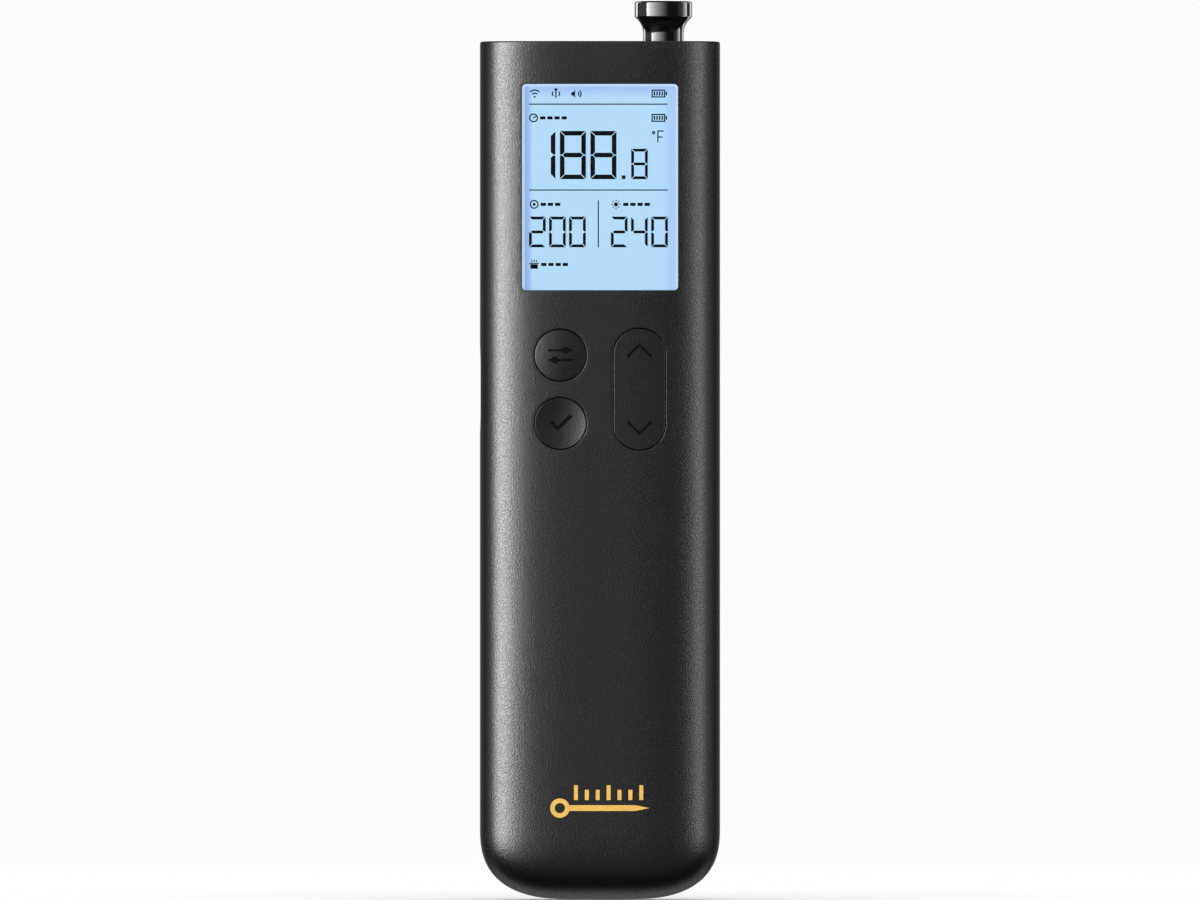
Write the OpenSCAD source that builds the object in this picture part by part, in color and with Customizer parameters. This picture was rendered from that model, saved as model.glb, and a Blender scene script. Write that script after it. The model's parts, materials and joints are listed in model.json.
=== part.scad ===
// Handheld wireless food thermometer: a pocket-sized receiver and charger with a
// segment display, and a cordless food probe that stores in a socket in its top end.
// Millimetres. +Z runs up the body to the probe, the display faces -Y, and the origin
// is the centre of the flat magnetic back face.

/* [Housing] */
// Width of the housing
body_w = 42; // [41.5:0.5:43]
// Depth of the housing, front to back
body_d = 25; // [24.8:0.2:26]
// Height of the housing
body_h = 150; // [149.6:0.2:150.4]
// Wall thickness
wall = 1.8; // [1.7:0.05:1.9]
// Exponent of the cross-section's rounded outline, higher is squarer
section_n = 4; // [3.9:0.1:4.6]
// Height of the rounded bottom end
bottom_h = 12.5; // [11:0.5:13]
// Exponent of the bottom end's rounding
bottom_n = 2.6; // [2.4:0.1:2.8]
// Depth position of the line where the two shells part
split_y = 6; // [5.8:0.1:6.2]

/* [Display] */
// Width of the display window
window_w = 27.2; // [26.8:0.2:27.4]
// Height of the display window
window_h = 36; // [35:0.5:36.5]
// Height of the window's centre above the bottom
window_z = 124.5; // [124.3:0.1:124.7]

/* [Keys] */
// Diameter of the openings for the round keys
key_hole_d = 9.3; // [9.2:0.1:9.4]
// Distance of both key columns from the centre line
key_x = 6.9; // [6.8:0.1:7]
// Height of the key group's centre
keys_z = 89.2; // [89:0.1:89.5]
// Distance between the two round keys
key_pitch = 11.9; // [11.7:0.1:12.1]
// Length of the opening for the up and down key
rocker_hole_h = 21.5; // [21:0.1:21.6]
// Length of the opening for the side key
power_hole_h = 17; // [16:0.2:17.4]
// Gap round every key
key_gap = 0.18; // [0.15:0.01:0.2]

/* [Probe] */
// Sideways position of the probe
probe_x = 11.1; // [10.9:0.1:11.2]
// Depth position of the probe
probe_y = 4; // [3.9:0.1:4.1]
// Radius of the probe's neck
neck_r = 3.58; // [3.5:0.02:3.6]
// Radius of the probe's head
head_r = 5.08; // [4.9:0.02:5.2]
// Radius of the steel stem
stem_r = 2.75; // [2.6:0.05:2.75]
// How far the head stands out of the housing
head_out = 7.2; // [7:0.1:7.6]
// Length of the whole probe
probe_len = 132; // [130:0.5:132]

/* [Back] */
// Width of the soft pad on the back
pad_w = 24; // [22:1:24]
// Height of the soft pad on the back
pad_h = 100; // [90:2:100]
// How far the pad stands proud of the back
pad_proud = 0.3; // [0.2:0.1:0.5]
// Height of the pad's centre, which is the origin
pad_z = 75; // [73:1:77]

/* [Hidden] */
$fn = 48;
half_w = body_w / 2;
half_d = body_d / 2;

// Bottom end: the flat middle that the rounding closes down to
base_half_w = 4.8;
base_half_d = 2;
section_points = 64;
bottom_rings = 9;

// Depth stack behind the window, from the front to the main board
window_face_y = -half_d + 0.6;
window_seat_y = -half_d + 2.9;
tape_t = 0.2;
flange_t = 0.8;
window_flange_w = 29.4;
window_flange_h = 39;
lcd_y = window_seat_y + 1.2;
lcd_t = 2;
lcd_w = 29.6;
lcd_h = 39.6;
segment_t = 0.1;
guide_t = 2.4;
guide_y = lcd_y + lcd_t;
board_y = -2.83;
board_t = 1.2;
board_back_y = board_y + board_t;
board_half_w = 15.5;
board_top_z = 145;
board_neck_z = 17.5;
board_neck_half_w = 8;
board_bottom_z = 3.2;
frame_w = 32.4;
frame_h = 42.4;
lcd_slack = 0.2;
guide_rise = 1.2;
guide_w = lcd_w - 0.4;
guide_h = lcd_h - 3.6;
led_places = [[-8, -9.5], [8, -9.5], [-8, 9.5], [8, 9.5]];
led_w = 3.5;
led_h = 2.8;
led_t = 1;

// Flat seats inside the front shell
lcd_seat_half_w = 17.5;
lcd_seat_bottom_z = 102;
front_seat_half_w = 15;
front_seat_bottom_z = 76;
side_seat_half_d = 7;
side_seat_low_z = 77.5;
side_seat_high_z = 101;
ledge_t = 3;
ledge_reach = 17.9;
ledge_half_d = 3;
rear_ledge_y = 9.4;
rear_ledge_half_w = 5;
overlap = 0.1;

// Keys
key_seat_y = -half_d + 2.5;
key_r = key_hole_d / 2 - key_gap;
set_z = keys_z + key_pitch / 2;
ok_z = keys_z - key_pitch / 2;
key_flange_r = 5.4;
key_flange_t = 0.8;
key_flange_y = key_seat_y + 0.05;
key_back_y = key_flange_y + key_flange_t;
guide_plate_y = key_back_y + 0.75;
guide_plate_t = 1;
key_stem_r = 1.5;
switch_size = 6;
switch_t = 3.4;
switch_y = board_y - switch_t;
plunger_r = 1.7;
plunger_y = switch_y - 0.67;
plunger_len = 2.6;
rocker_reach = 6;
rocker_inset = 0.1;
rocker_back_y = key_seat_y + 0.8;
pivot_y = key_seat_y + 1.6;
pivot_r = 0.75;
pivot_post_x = 5.6;
pivot_post_t = 1.4;
lug_x = 2.2;
lug_t = 1.2;
power_w = key_hole_d - 0.1;
power_seat_x = -half_w + 2.2;
power_face_x = -half_w + 0.1;
power_flange_t = 0.8;
power_switch_x = -board_half_w;
power_tip_x = power_switch_x - 1.5;
power_stem_r = 1.3;
power_plunger_r = 1.2;
scoop_r = 60;
scoop_depth = 0.15;
chevron_reach = 6.8;
guide_plate_w = 26.8;
guide_plate_h = 24;
peg_x = 12;
peg_z = 10.6;
running_gap = 0.05;

// Screws and posts
post_x = 12;
post_z = 14;
post_r = 2.6;
screw_r = 1;
screw_head_r = 1.9;
screw_head_t = 1.3;
screw_seat_y = half_d - 1.9;
board_post_x = 13;
board_post_zs = [21, 73];
board_post_r = 2.2;
board_screw_r = 0.8;
pivot_post_half_h = 1.8;
rear_post_r = post_r + 0.4;
clip_x = 17.2;
clip_t = 1.2;
clip_half_h = 4;
clip_y = [3, 8.4];
clip_zs = [60, 122];
rib_t = 2.4;
rib_zs = [32, 94];

// Probe and dock
top_z = body_h;
cap_t = 2;
cap_z = top_z - 0.3 - cap_t;
ledge_z = cap_z;
bush_r = 5.2;
bush_bore_r = neck_r + 0.14;
neck_bottom_z = 121;
collar_h = 3;
collar_r = neck_r - 0.08;
tip_z = top_z + head_out - probe_len;
tip_h = 9;
sleeve_top_z = ledge_z - 0.1;
sleeve_step_z = 118;
sleeve_bottom_z = tip_z - 3;
sleeve_upper_r = 4.7;
sleeve_lower_r = 3.9;
sleeve_upper_bore_r = neck_r + 0.2;
sleeve_lower_bore_r = stem_r + 0.25;
stem_wall = 0.35;
pin_r = 1.1;

// Battery
cell_x = -5.8;
cell_w = 21.4;
cell_y = 0.3;
cell_t = 7.6;
cell_z = 20;
cell_h = 58;
socket_x = -10;
socket_z = 82.5;
socket_t = 2;
lead_r = 0.5;
foam_low = [cell_x - 5, board_back_y, 28];
foam_high = [cell_x + 5, cell_y, 66];

// Charging port
port_w = 8.94;
port_h = 3.16;
port_z = 0.9;
port_len = 7.3;
port_hole_w = 9.4;
port_hole_h = 3.6;

// Radio, chips and buzzer on the back of the main board
can_low = [-14, board_back_y, 103];
can_high = [2, board_back_y + 2.3, 123];
can_wall = 0.2;
chip_low = [-7, board_back_y, 87];
chip_size = [7, 0.9, 7];
part_pitch = [2.4, 4];
part_size = [1.5, 0.6, 0.8];
antenna_low = [-13, board_back_y, 141.2];
antenna_size = [9, 1.2, 3];
buzzer_x = -8;
buzzer_z = 134;
buzzer_r = 6;
buzzer_t = 3.6;
sound_hole_r = 0.6;
sound_ring_r = 2.6;

// Magnets
magnet_r = 6;
magnet_t = 2.4;
magnet_y = half_d - 4.4;
magnet_zs = [45, 105];

// Soft pad on the back
pad_depth = 0.6;
pad_gap = 0.1;
pad_corner_r = 6;

// Pictures on the display, keys and badge
picture_stroke = 0.22;
engrave_depth = 0.18;

shell_colour = "#2e2e30";
black = "#111113";
steel = "#c9ccd0";
board_green = "#1d5b3a";
gold = "#e9b44c";
silicone = "#3a3a3d";

// ---------- Helpers ----------

// Moves a shape from housing coordinates (origin at the bottom centre) to the part's frame.
module to_frame() {
    translate([0, -half_d - pad_proud, -pad_z]) children();
}

// Extrudes an X-Z outline from depth y0 to y1.
module front_prism(y0, y1) {
    translate([0, y1, 0]) rotate([90, 0, 0]) linear_extrude(y1 - y0) children();
}

// Round bar along Y at x, z from depth y0 to y1.
module rod_y(r, x, z, y0, y1) {
    translate([x, y1, z]) rotate([90, 0, 0]) cylinder(r = r, h = y1 - y0);
}

// Round bar along X at y, z from x0 to x1.
module rod_x(r, y, z, x0, x1) {
    translate([x0, y, z]) rotate([0, 90, 0]) cylinder(r = r, h = x1 - x0);
}

// Round bar along Z on the probe's axis from z0 to z1.
module probe_rod(r, z0, z1) {
    translate([probe_x, probe_y, z0]) cylinder(r = r, h = z1 - z0);
}

// Box between two opposite corners.
module box(low, high) {
    translate(low) cube(high - low);
}

// Rectangle with rounded corners, centred.
module round_rect(w, h, r) {
    square([w - 2 * r, h], center = true);
    square([w, h - 2 * r], center = true);
    for (x = [-1, 1], y = [-1, 1])
        translate([x * (w / 2 - r), y * (h / 2 - r)]) circle(r = r);
}

// Slot with round ends, centred; its long side may be either one.
module slot(w, h) {
    r = min(w, h) / 2;
    square(w > h ? [w - h, h] : [w, h - w], center = true);
    for (s = [-1, 1])
        translate([s * (w / 2 - r), s * (h / 2 - r)]) circle(r = r);
}

function arc(c, r, from, to, steps) =
    [for (i = [0:steps]) let (t = from + (to - from) * i / steps) c + r * [cos(t), sin(t)]];

function signed_power(v, p) = sign(v) * pow(abs(v), p);

// Superellipse outline with half-widths a and b.
function section(a, b) =
    [for (i = [0:section_points - 1]) let (t = 360 * i / section_points)
        [a * signed_power(cos(t), 2 / section_n), b * signed_power(sin(t), 2 / section_n)]];

// Levels of the housing's outer form, moved inwards by inset: [z, half width, half depth].
function levels(inset, top) = concat(
    [for (k = [0:bottom_rings]) let (phi = 90 * k / bottom_rings, s = pow(sin(phi), 2 / bottom_n))
        [inset + (bottom_h - inset) * (1 - pow(cos(phi), 2 / bottom_n)),
         base_half_w + (half_w - inset - base_half_w) * s,
         base_half_d + (half_d - inset - base_half_d) * s]],
    [[top, half_w - inset, half_d - inset]]);

// The housing's solid form, inset from its skin, from the bottom up to top.
module body_form(inset, top) {
    rows = levels(inset, top);
    n = section_points;
    last = len(rows) - 1;
    points = [for (row = rows) for (p = section(row[1], row[2])) [p.x, p.y, row[0]]];
    sides = [for (k = [0:last - 1]) for (i = [0:n - 1]) let (j = (i + 1) % n)
        each [[k * n + i, (k + 1) * n + i, (k + 1) * n + j], [k * n + i, (k + 1) * n + j, k * n + j]]];
    polyhedron(points, concat([[for (i = [0:n - 1]) i]], sides, [[for (i = [n - 1:-1:0]) last * n + i]]));
}

// ---------- Housing ----------

module window_hole(grow) {
    translate([0, window_z]) round_rect(window_w + grow, window_h + grow, 0.7);
}

// Flat seats behind the window and the keys, and the ledges that carry the top cap
module inner_seats() {
    box([-lcd_seat_half_w, -half_d, lcd_seat_bottom_z], [lcd_seat_half_w, window_seat_y, ledge_z]);
    box([-front_seat_half_w, -half_d, front_seat_bottom_z],
        [front_seat_half_w, key_seat_y, lcd_seat_bottom_z]);
    box([-half_w, -side_seat_half_d, side_seat_low_z],
        [power_seat_x, side_seat_half_d, side_seat_high_z]);
    box([-half_w, -ledge_half_d, ledge_z - ledge_t], [-ledge_reach, ledge_half_d, ledge_z]);
    box([ledge_reach, -ledge_half_d, ledge_z - ledge_t], [half_w, ledge_half_d, ledge_z]);
    box([-rear_ledge_half_w, rear_ledge_y, ledge_z - ledge_t], [rear_ledge_half_w, half_d, ledge_z]);
}

module cavity() {
    difference() {
        body_form(wall, body_h + 1);
        inner_seats();
    }
}

// Ring that follows the skin between two insets, as deep as the gasket
module parting_ring(outer, inner, depth, top) {
    intersection() {
        difference() {
            body_form(outer, top);
            body_form(inner, top + 1);
        }
        box([-half_w, split_y - depth, 0], [half_w, split_y, top]);
    }
}

module front_posts() {
    for (side = [-1, 1]) {
        rod_y(post_r, side * post_x, post_z, -half_d + 1.4, split_y - overlap);
        for (z = board_post_zs)
            rod_y(board_post_r, side * board_post_x, z, -half_d + wall + overlap, board_y);
        post = key_x + side * pivot_post_x;
        box([post - pivot_post_t / 2, key_seat_y - overlap, keys_z - pivot_post_half_h],
            [post + pivot_post_t / 2, pivot_y + 1.3, keys_z + pivot_post_half_h]);
    }
}

module front_holes() {
    front_prism(-half_d - 1, window_seat_y + 1) window_hole(0);
    for (z = [set_z, ok_z])
        rod_y(key_hole_d / 2, -key_x, z, -half_d - 1, key_seat_y + 1);
    front_prism(-half_d - 1, key_seat_y + 1)
        translate([key_x, keys_z]) slot(key_hole_d, rocker_hole_h);
    translate([-half_w - 1, 0, keys_z]) rotate([90, 0, 90])
        linear_extrude(power_seat_x + half_w + 2) slot(power_w, power_hole_h);
    rod_x(pivot_r + 0.01, pivot_y, keys_z, key_x - 8, key_x + 8);
    for (side = [-1, 1]) {
        rod_y(screw_r + 0.02, side * post_x, post_z, -4, split_y + 1);
        for (z = board_post_zs)
            rod_y(board_screw_r + 0.02, side * board_post_x, z, -8, board_y + 1);
    }
    port_opening();
}

module port_opening() {
    translate([0, 0, -1]) linear_extrude(wall + 3) slot(port_hole_w, port_hole_h);
    translate([0, 0, -1]) linear_extrude(1.3) slot(port_hole_w + 0.4, port_hole_h + 0.4);
}

module front_shell() {
    color(shell_colour) to_frame() difference() {
        union() {
            difference() {
                intersection() {
                    body_form(0, body_h);
                    box([-half_w - 1, -half_d - 1, -1], [half_w + 1, split_y, body_h + 1]);
                }
                cavity();
            }
            front_posts();
        }
        front_holes();
        parting_ring(0.45, 1.35, 0.65, ledge_z - 0.2);
    }
}

module rear_inside() {
    for (side = [-1, 1]) {
        rod_y(rear_post_r, side * post_x, post_z, split_y, half_d - 1.2);
        for (z = clip_zs) {
            middle = side * (clip_x + clip_t / 2);
            box([middle - clip_t / 2, clip_y[0], z - clip_half_h],
                [middle + clip_t / 2, clip_y[1], z + clip_half_h]);
        }
    }
    for (z = rib_zs)
        difference() {
            box([probe_x - 4.4, probe_y + 2, z - rib_t / 2],
                [probe_x + 3, half_d - wall - overlap, z + rib_t / 2]);
            probe_rod(sleeve_lower_r + 0.02, z - rib_t, z + rib_t);
        }
    for (z = magnet_zs)
        difference() {
            rod_y(magnet_r + 1, 0, z, magnet_y, half_d - 1.5);
            rod_y(magnet_r + 0.1, 0, z, magnet_y - 1, half_d - wall);
        }
}

// Seven small holes that let the buzzer's sound out
module sound_holes() {
    for (p = concat([[0, 0]], arc([0, 0], sound_ring_r, 0, 300, 5)))
        rod_y(sound_hole_r, buzzer_x + p.x, buzzer_z + p.y, half_d - 3, half_d + 1);
}

module rear_shell() {
    color(shell_colour) to_frame() difference() {
        union() {
            difference() {
                intersection() {
                    body_form(0, body_h);
                    box([-half_w - 1, split_y, -1], [half_w + 1, half_d + 1, body_h + 1]);
                }
                cavity();
            }
            rear_inside();
        }
        for (side = [-1, 1]) {
            rod_y(1.2, side * post_x, post_z, split_y - 1, half_d);
            rod_y(screw_head_r + 0.3, side * post_x, post_z, screw_seat_y, half_d + 1);
        }
        front_prism(half_d - pad_depth, half_d + 1)
            translate([0, pad_z]) round_rect(pad_w, pad_h, pad_corner_r);
        sound_holes();
    }
}

module top_cap() {
    color(shell_colour) to_frame() difference() {
        translate([0, 0, cap_z])
            linear_extrude(cap_t) polygon(section(half_w - wall - 0.08, half_d - wall - 0.08));
        probe_rod(bush_r, cap_z - 1, top_z + 1);
    }
}

module probe_bush() {
    h = cap_t + 0.2;
    outer = bush_r - 0.02;
    color(black) to_frame() translate([probe_x, probe_y, cap_z]) rotate_extrude()
        polygon([[bush_bore_r, 0], [outer, 0], [outer, h - 0.3], [outer - 0.3, h],
                 [bush_bore_r + 0.5, h], [bush_bore_r, h - 0.5]]);
}

module shell_gasket() {
    color(silicone) to_frame() parting_ring(0.5, 1.3, 0.6, ledge_z - 0.3);
}

module back_pad() {
    color(silicone) to_frame() difference() {
        front_prism(half_d - pad_depth, half_d + pad_proud) translate([0, pad_z])
            round_rect(pad_w - 2 * pad_gap, pad_h - 2 * pad_gap, pad_corner_r - pad_gap);
        for (i = [-1, 1])
            front_prism(half_d, half_d + 1) translate([0, pad_z + i * pad_h * 0.43])
                slot(pad_w * 0.5, 1);
    }
}

module magnets() {
    color(steel) to_frame()
        for (z = magnet_zs) rod_y(magnet_r, 0, z, magnet_y, magnet_y + magnet_t);
}

module shell_screws() {
    color(steel) to_frame() for (side = [-1, 1])
        difference() {
            union() {
                rod_y(screw_r, side * post_x, post_z, -1, screw_seat_y);
                rod_y(screw_head_r, side * post_x, post_z, screw_seat_y, screw_seat_y + screw_head_t);
            }
            for (turn = [0, 90])
                front_prism(screw_seat_y + 0.5, half_d) translate([side * post_x, post_z])
                    rotate(turn) square([2.2, 0.5], center = true);
        }
}

// Generic mark: a food probe lying under a short scale
module badge_outline() {
    difference() {
        translate([-7, -1.2]) circle(r = 1.7);
        translate([-7, -1.2]) circle(r = 0.9);
    }
    translate([0.4, -1.2]) square([11.6, 1], center = true);
    translate([6.2, -1.7]) polygon([[0, 0], [2.4, 0.5], [0, 1]]);
    for (i = [0:6])
        translate([-4.2 + 1.9 * i, i % 3 == 0 ? 1.5 : 1.1])
            square([0.7, i % 3 == 0 ? 2.6 : 1.8], center = true);
}

module front_badge() {
    color(gold) to_frame() intersection() {
        front_prism(-half_d - 1, 0) translate([0, 17.3]) badge_outline();
        translate([0, 0, 13]) linear_extrude(9) difference() {
            polygon(section(half_w + 0.06, half_d + 0.06));
            polygon(section(half_w, half_d));
        }
    }
}

// ---------- Display ----------

module display_window() {
    color("#bcd8ff", 0.4) to_frame() {
        front_prism(window_face_y, window_seat_y + tape_t) window_hole(-0.3);
        front_prism(window_seat_y + tape_t, window_seat_y + tape_t + flange_t)
            translate([0, window_z]) round_rect(window_flange_w, window_flange_h, 1);
    }
}

module window_tape() {
    color(black) to_frame() front_prism(window_seat_y, window_seat_y + tape_t)
        difference() {
            translate([0, window_z]) round_rect(window_flange_w, window_flange_h, 1);
            window_hole(0.2);
        }
}

module lcd_panel() {
    color("#a9d3ff") to_frame() front_prism(lcd_y, lcd_y + lcd_t)
        translate([0, window_z]) square([lcd_w, lcd_h], center = true);
}

// One bar of a seven-segment digit: a top, b and c right, d bottom, e and f left, g middle
function bar(name, w, h, t) = let (g = 0.09, m = h / 2)
    name == "a" ? [[g, h], [w - g, h], [w - t - g, h - t], [t + g, h - t]] :
    name == "d" ? [[t + g, t], [w - t - g, t], [w - g, 0], [g, 0]] :
    name == "g" ? [[t / 2 + g, m], [t + g, m + t / 2], [w - t - g, m + t / 2], [w - t / 2 - g, m],
                   [w - t - g, m - t / 2], [t + g, m - t / 2]] :
    name == "f" ? [[0, h - g], [t, h - t - g], [t, m + t / 2 + g], [t / 2, m + g], [0, m + g]] :
    name == "b" ? [for (p = bar("f", w, h, t)) [w - p.x, p.y]] :
    name == "e" ? [for (p = bar("f", w, h, t)) [p.x, h - p.y]] :
    [for (p = bar("f", w, h, t)) [w - p.x, h - p.y]];

digit_bars = ["abcdef", "bc", "abged", "abgcd", "fgbc", "afgcd", "afgedc", "abc", "abcdefg", "abcdfg"];

module digit(value, w, h, t) {
    for (name = digit_bars[value]) polygon(bar(name, w, h, t));
}

// A row of digits that starts at x, z on the display
module number(values, x, z, w, h, t, pitch) {
    for (i = [0:len(values) - 1])
        translate([x + i * pitch, z]) digit(values[i], w, h, t);
}

// Arc-shaped stroke between two angles
module arc_stroke(r, from, to) {
    polygon(concat(arc([0, 0], r + picture_stroke / 2, from, to, 10),
                   arc([0, 0], r - picture_stroke / 2, to, from, 10)));
}

module ring(r) {
    difference() {
        circle(r = r);
        circle(r = r - picture_stroke);
    }
}

module signal_picture() {
    translate([0, -0.6]) {
        circle(r = 0.16);
        for (r = [0.62, 1.16]) arc_stroke(r, 45, 135);
    }
}

// A probe beside its receiver
module link_picture() {
    square([picture_stroke, 1.4], center = true);
    translate([0, 0.75]) circle(r = 0.26);
    for (side = [0, 180]) rotate(side) arc_stroke(0.62, -38, 38);
}

module speaker_picture() {
    translate([-0.5, 0]) polygon([[-0.4, -0.28], [-0.1, -0.28], [0.25, -0.7],
                                  [0.25, 0.7], [-0.1, 0.28], [-0.4, 0.28]]);
    for (r = [0.42, 0.8]) arc_stroke(r, -48, 48);
}

module battery_picture() {
    difference() {
        square([2.4, 1.4], center = true);
        square([2.4 - 2 * picture_stroke, 1.4 - 2 * picture_stroke], center = true);
    }
    translate([1.38, 0]) square([0.26, 0.6], center = true);
    for (i = [0:3]) translate([-0.68 + 0.45 * i, 0]) square([0.26, 0.7], center = true);
}

// Degree sign and F for the temperature scale
module unit_picture() {
    translate([-0.72, 0.72]) ring(0.3);
    translate([-0.1, 0.9]) square([1.15, 0.22]);
    translate([-0.1, -0.15]) square([0.95, 0.22]);
    translate([-0.1, -1]) square([0.22, 2.1]);
}

// A short row of blocks that stands where a word would be
module blocks(count, x) {
    for (i = [0:count - 1])
        translate([x + 1.25 * i, 0]) round_rect(0.95, 0.55, 0.15);
}

module dial_picture() {
    ring(0.78);
    rotate(35) translate([0.3, 0]) square([0.8, 0.2], center = true);
}

module target_picture() {
    ring(0.78);
    circle(r = 0.26);
}

module sun_picture() {
    circle(r = 0.36);
    for (i = [0:7]) rotate(45 * i) translate([0.68, 0]) square([0.3, 0.16], center = true);
}

module pot_picture() {
    translate([0, -0.35]) square([1.3, 0.8], center = true);
    translate([0, 0.2]) square([1.7, 0.18], center = true);
    for (x = [-0.4, 0, 0.4]) translate([x, 0.62]) square([0.16, 0.42], center = true);
}

module display_pictures() {
    translate([-11.4, 140.9]) signal_picture();
    translate([-7.7, 140.8]) link_picture();
    translate([-4.1, 140.8]) speaker_picture();
    for (z = [140.85, 136.6]) translate([10.2, z]) battery_picture();
    translate([10.1, 133.3]) unit_picture();
    translate([-11.6, 136.6]) dial_picture();
    translate([0, 136.6]) blocks(4, -10);
    translate([-11.5, 121.5]) target_picture();
    translate([0, 121.5]) blocks(3, -9.9);
    translate([2.8, 121.5]) sun_picture();
    translate([0, 121.5]) blocks(4, 4.5);
    translate([-11.5, 111]) pot_picture();
    translate([0, 111]) blocks(4, -9.8);
}

module display_numbers() {
    number([1, 8, 8], -12.33, 125.9, 4.54, 8.42, 0.8, 5.33);
    translate([3.8, 125.9]) square(0.66);
    number([8], 5.45, 125.9, 2.9, 5.32, 0.5, 0);
    number([2, 0, 0], -12.4, 114, 2.92, 5.36, 0.5, 3.5);
    number([2, 4, 0], 1.9, 114, 2.92, 5.36, 0.5, 3.52);
    for (z = [139, 124]) translate([-12.4, z - 0.1]) square([24.2, 0.2]);
    translate([-0.4, 114]) square([0.2, 8.2]);
}

module lcd_segments() {
    color(black) to_frame() front_prism(lcd_y - segment_t, lcd_y) {
        display_numbers();
        display_pictures();
    }
}

module light_guide() {
    color("#f4f7ff") to_frame() front_prism(guide_y, guide_y + guide_t)
        translate([0, window_z + guide_rise]) square([guide_w, guide_h], center = true);
}

module lcd_frame() {
    color("#f0f0f0") to_frame() difference() {
        front_prism(lcd_y, board_y) translate([0, window_z]) square([frame_w, frame_h], center = true);
        front_prism(lcd_y - 1, guide_y)
            translate([0, window_z]) square([lcd_w + lcd_slack, lcd_h + lcd_slack], center = true);
        front_prism(guide_y - 1, guide_y + guide_t) translate([0, window_z + guide_rise])
            square([guide_w + lcd_slack, guide_h + lcd_slack], center = true);
        connector_form(0.1, board_y + 1);
        for (p = led_places)
            front_prism(lcd_y, board_y + 1)
                translate([p.x, window_z + p.y]) square([led_w + 1, led_h + 0.8], center = true);
    }
}

// Rubber strip of fine conductors under the glass's lower edge
module connector_form(grow, back) {
    front_prism(guide_y, back) translate([0, window_z - lcd_h / 2 + 1.4])
        square([26 + grow, 1.8 + grow], center = true);
}

module lcd_connector() {
    color("#d99bb0") to_frame() connector_form(0, board_y);
}

module backlight_leds() {
    color("#fff6d8") to_frame() for (p = led_places)
        front_prism(board_y - led_t, board_y)
            translate([p.x, window_z + p.y]) square([led_w, led_h], center = true);
}

// ---------- Keys ----------

// Height of a circle of radius r above its lowest chord at distance x from the axis
function sagitta(r, x) = r - sqrt(r * r - x * x);

// Two sliders, for the key that opens the settings
module sliders_picture() {
    for (side = [-1, 1]) {
        translate([0, 0.85 * side]) square([4.2, 0.3], center = true);
        translate([0.95 * side, 0.85 * side]) circle(r = 0.5);
    }
}

// Tick, for the key that confirms
module tick_picture() {
    polygon([[-1.9, 0.15], [-1.45, 0.6], [-0.5, -0.5], [1.65, 1.6], [2.1, 1.15], [-0.5, -1.35]]);
}

module power_picture() {
    polygon(concat(arc([0, 0], 1.2, 125, 415, 20), arc([0, 0], 0.92, 415, 125, 20)));
    translate([0, 1]) square([0.28, 1.3], center = true);
}

// Round keycap with its flange and stem: a profile in radius and height above the seat, with
// the edge broken by a fillet. rise is how far the middle stands above the edge, below 0 for
// a dished face.
module round_cap(edge_h, rise) {
    f = 0.22;
    big = (key_r * key_r + rise * rise) / (2 * abs(rise));
    side = sign(rise);
    steps = 10;
    face = [for (i = [0:steps]) let (x = (key_r - f) * (1 - i / steps))
        [x, edge_h + rise - side * sagitta(big, x)]];
    rotate_extrude() polygon(concat(
        [[0, key_flange_y - plunger_y], [key_stem_r, key_flange_y - plunger_y],
         [key_stem_r, -key_flange_t], [key_flange_r, -key_flange_t], [key_flange_r, 0], [key_r, 0]],
        arc([key_r - f, face[0].y - f], f, 0, 75, 4), face));
}

module key_at(z) {
    translate([-key_x, key_flange_y, z]) rotate([90, 0, 0]) children();
}

// Keeps a picture engraved to an even depth in a domed or dished face
module engraving(face_h, rise) {
    big = (key_r * key_r + rise * rise) / (2 * abs(rise));
    middle = face_h + rise - engrave_depth;
    if (rise > 0) difference() {
        translate([0, 0, middle - 1]) linear_extrude(3) children();
        translate([0, 0, middle - big]) sphere(r = big, $fn = 96);
    }
    else intersection() {
        translate([0, 0, middle]) linear_extrude(3) children();
        translate([0, 0, middle + big]) sphere(r = big, $fn = 96);
    }
}

set_edge_h = 2.4;
set_rise = 0.3;
ok_edge_h = 2.45;
ok_rise = -0.35;

module set_key() {
    color(shell_colour) to_frame() key_at(set_z) difference() {
        round_cap(set_edge_h, set_rise);
        engraving(set_edge_h, set_rise) sliders_picture();
    }
}

module ok_key() {
    color(shell_colour) to_frame() key_at(ok_z) difference() {
        round_cap(ok_edge_h, ok_rise);
        engraving(ok_edge_h, ok_rise) tick_picture();
    }
}

// Upright block with the housing's cross-section, inset from its skin, beside the keys
module skin_prism(inset) {
    translate([0, 0, keys_z - 12]) linear_extrude(24) polygon(section(half_w - inset, half_d - inset));
}

// Chevron that points up
module chevron() {
    for (side = [-1, 1])
        polygon([[0, 1.1], [0, 0.75], [side * 2, -1.25], [side * 2.2, -1.05]]);
}

module rocker_key() {
    w = key_hole_d - 2 * key_gap;
    h = rocker_hole_h - 2 * key_gap;
    color(shell_colour) to_frame() difference() {
        union() {
            intersection() {
                front_prism(-half_d, rocker_back_y) translate([key_x, keys_z]) slot(w, h);
                skin_prism(rocker_inset);
            }
            for (side = [-1, 1]) {
                box([key_x + side * lug_x - lug_t / 2, rocker_back_y - 0.1, keys_z - 1.4],
                    [key_x + side * lug_x + lug_t / 2, pivot_y + 1.4, keys_z + 1.4]);
                rod_y(1.5, key_x, keys_z + side * rocker_reach, rocker_back_y - 0.1, plunger_y - 0.25);
            }
        }
        rod_x(pivot_r + running_gap, pivot_y, keys_z, key_x - 4, key_x + 4);
        for (side = [-1, 1])
            difference() {
                front_prism(-half_d, rocker_back_y - 1) translate([key_x, keys_z + side * chevron_reach])
                    scale([1, side]) chevron();
                skin_prism(rocker_inset + engrave_depth);
            }
    }
}

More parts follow.
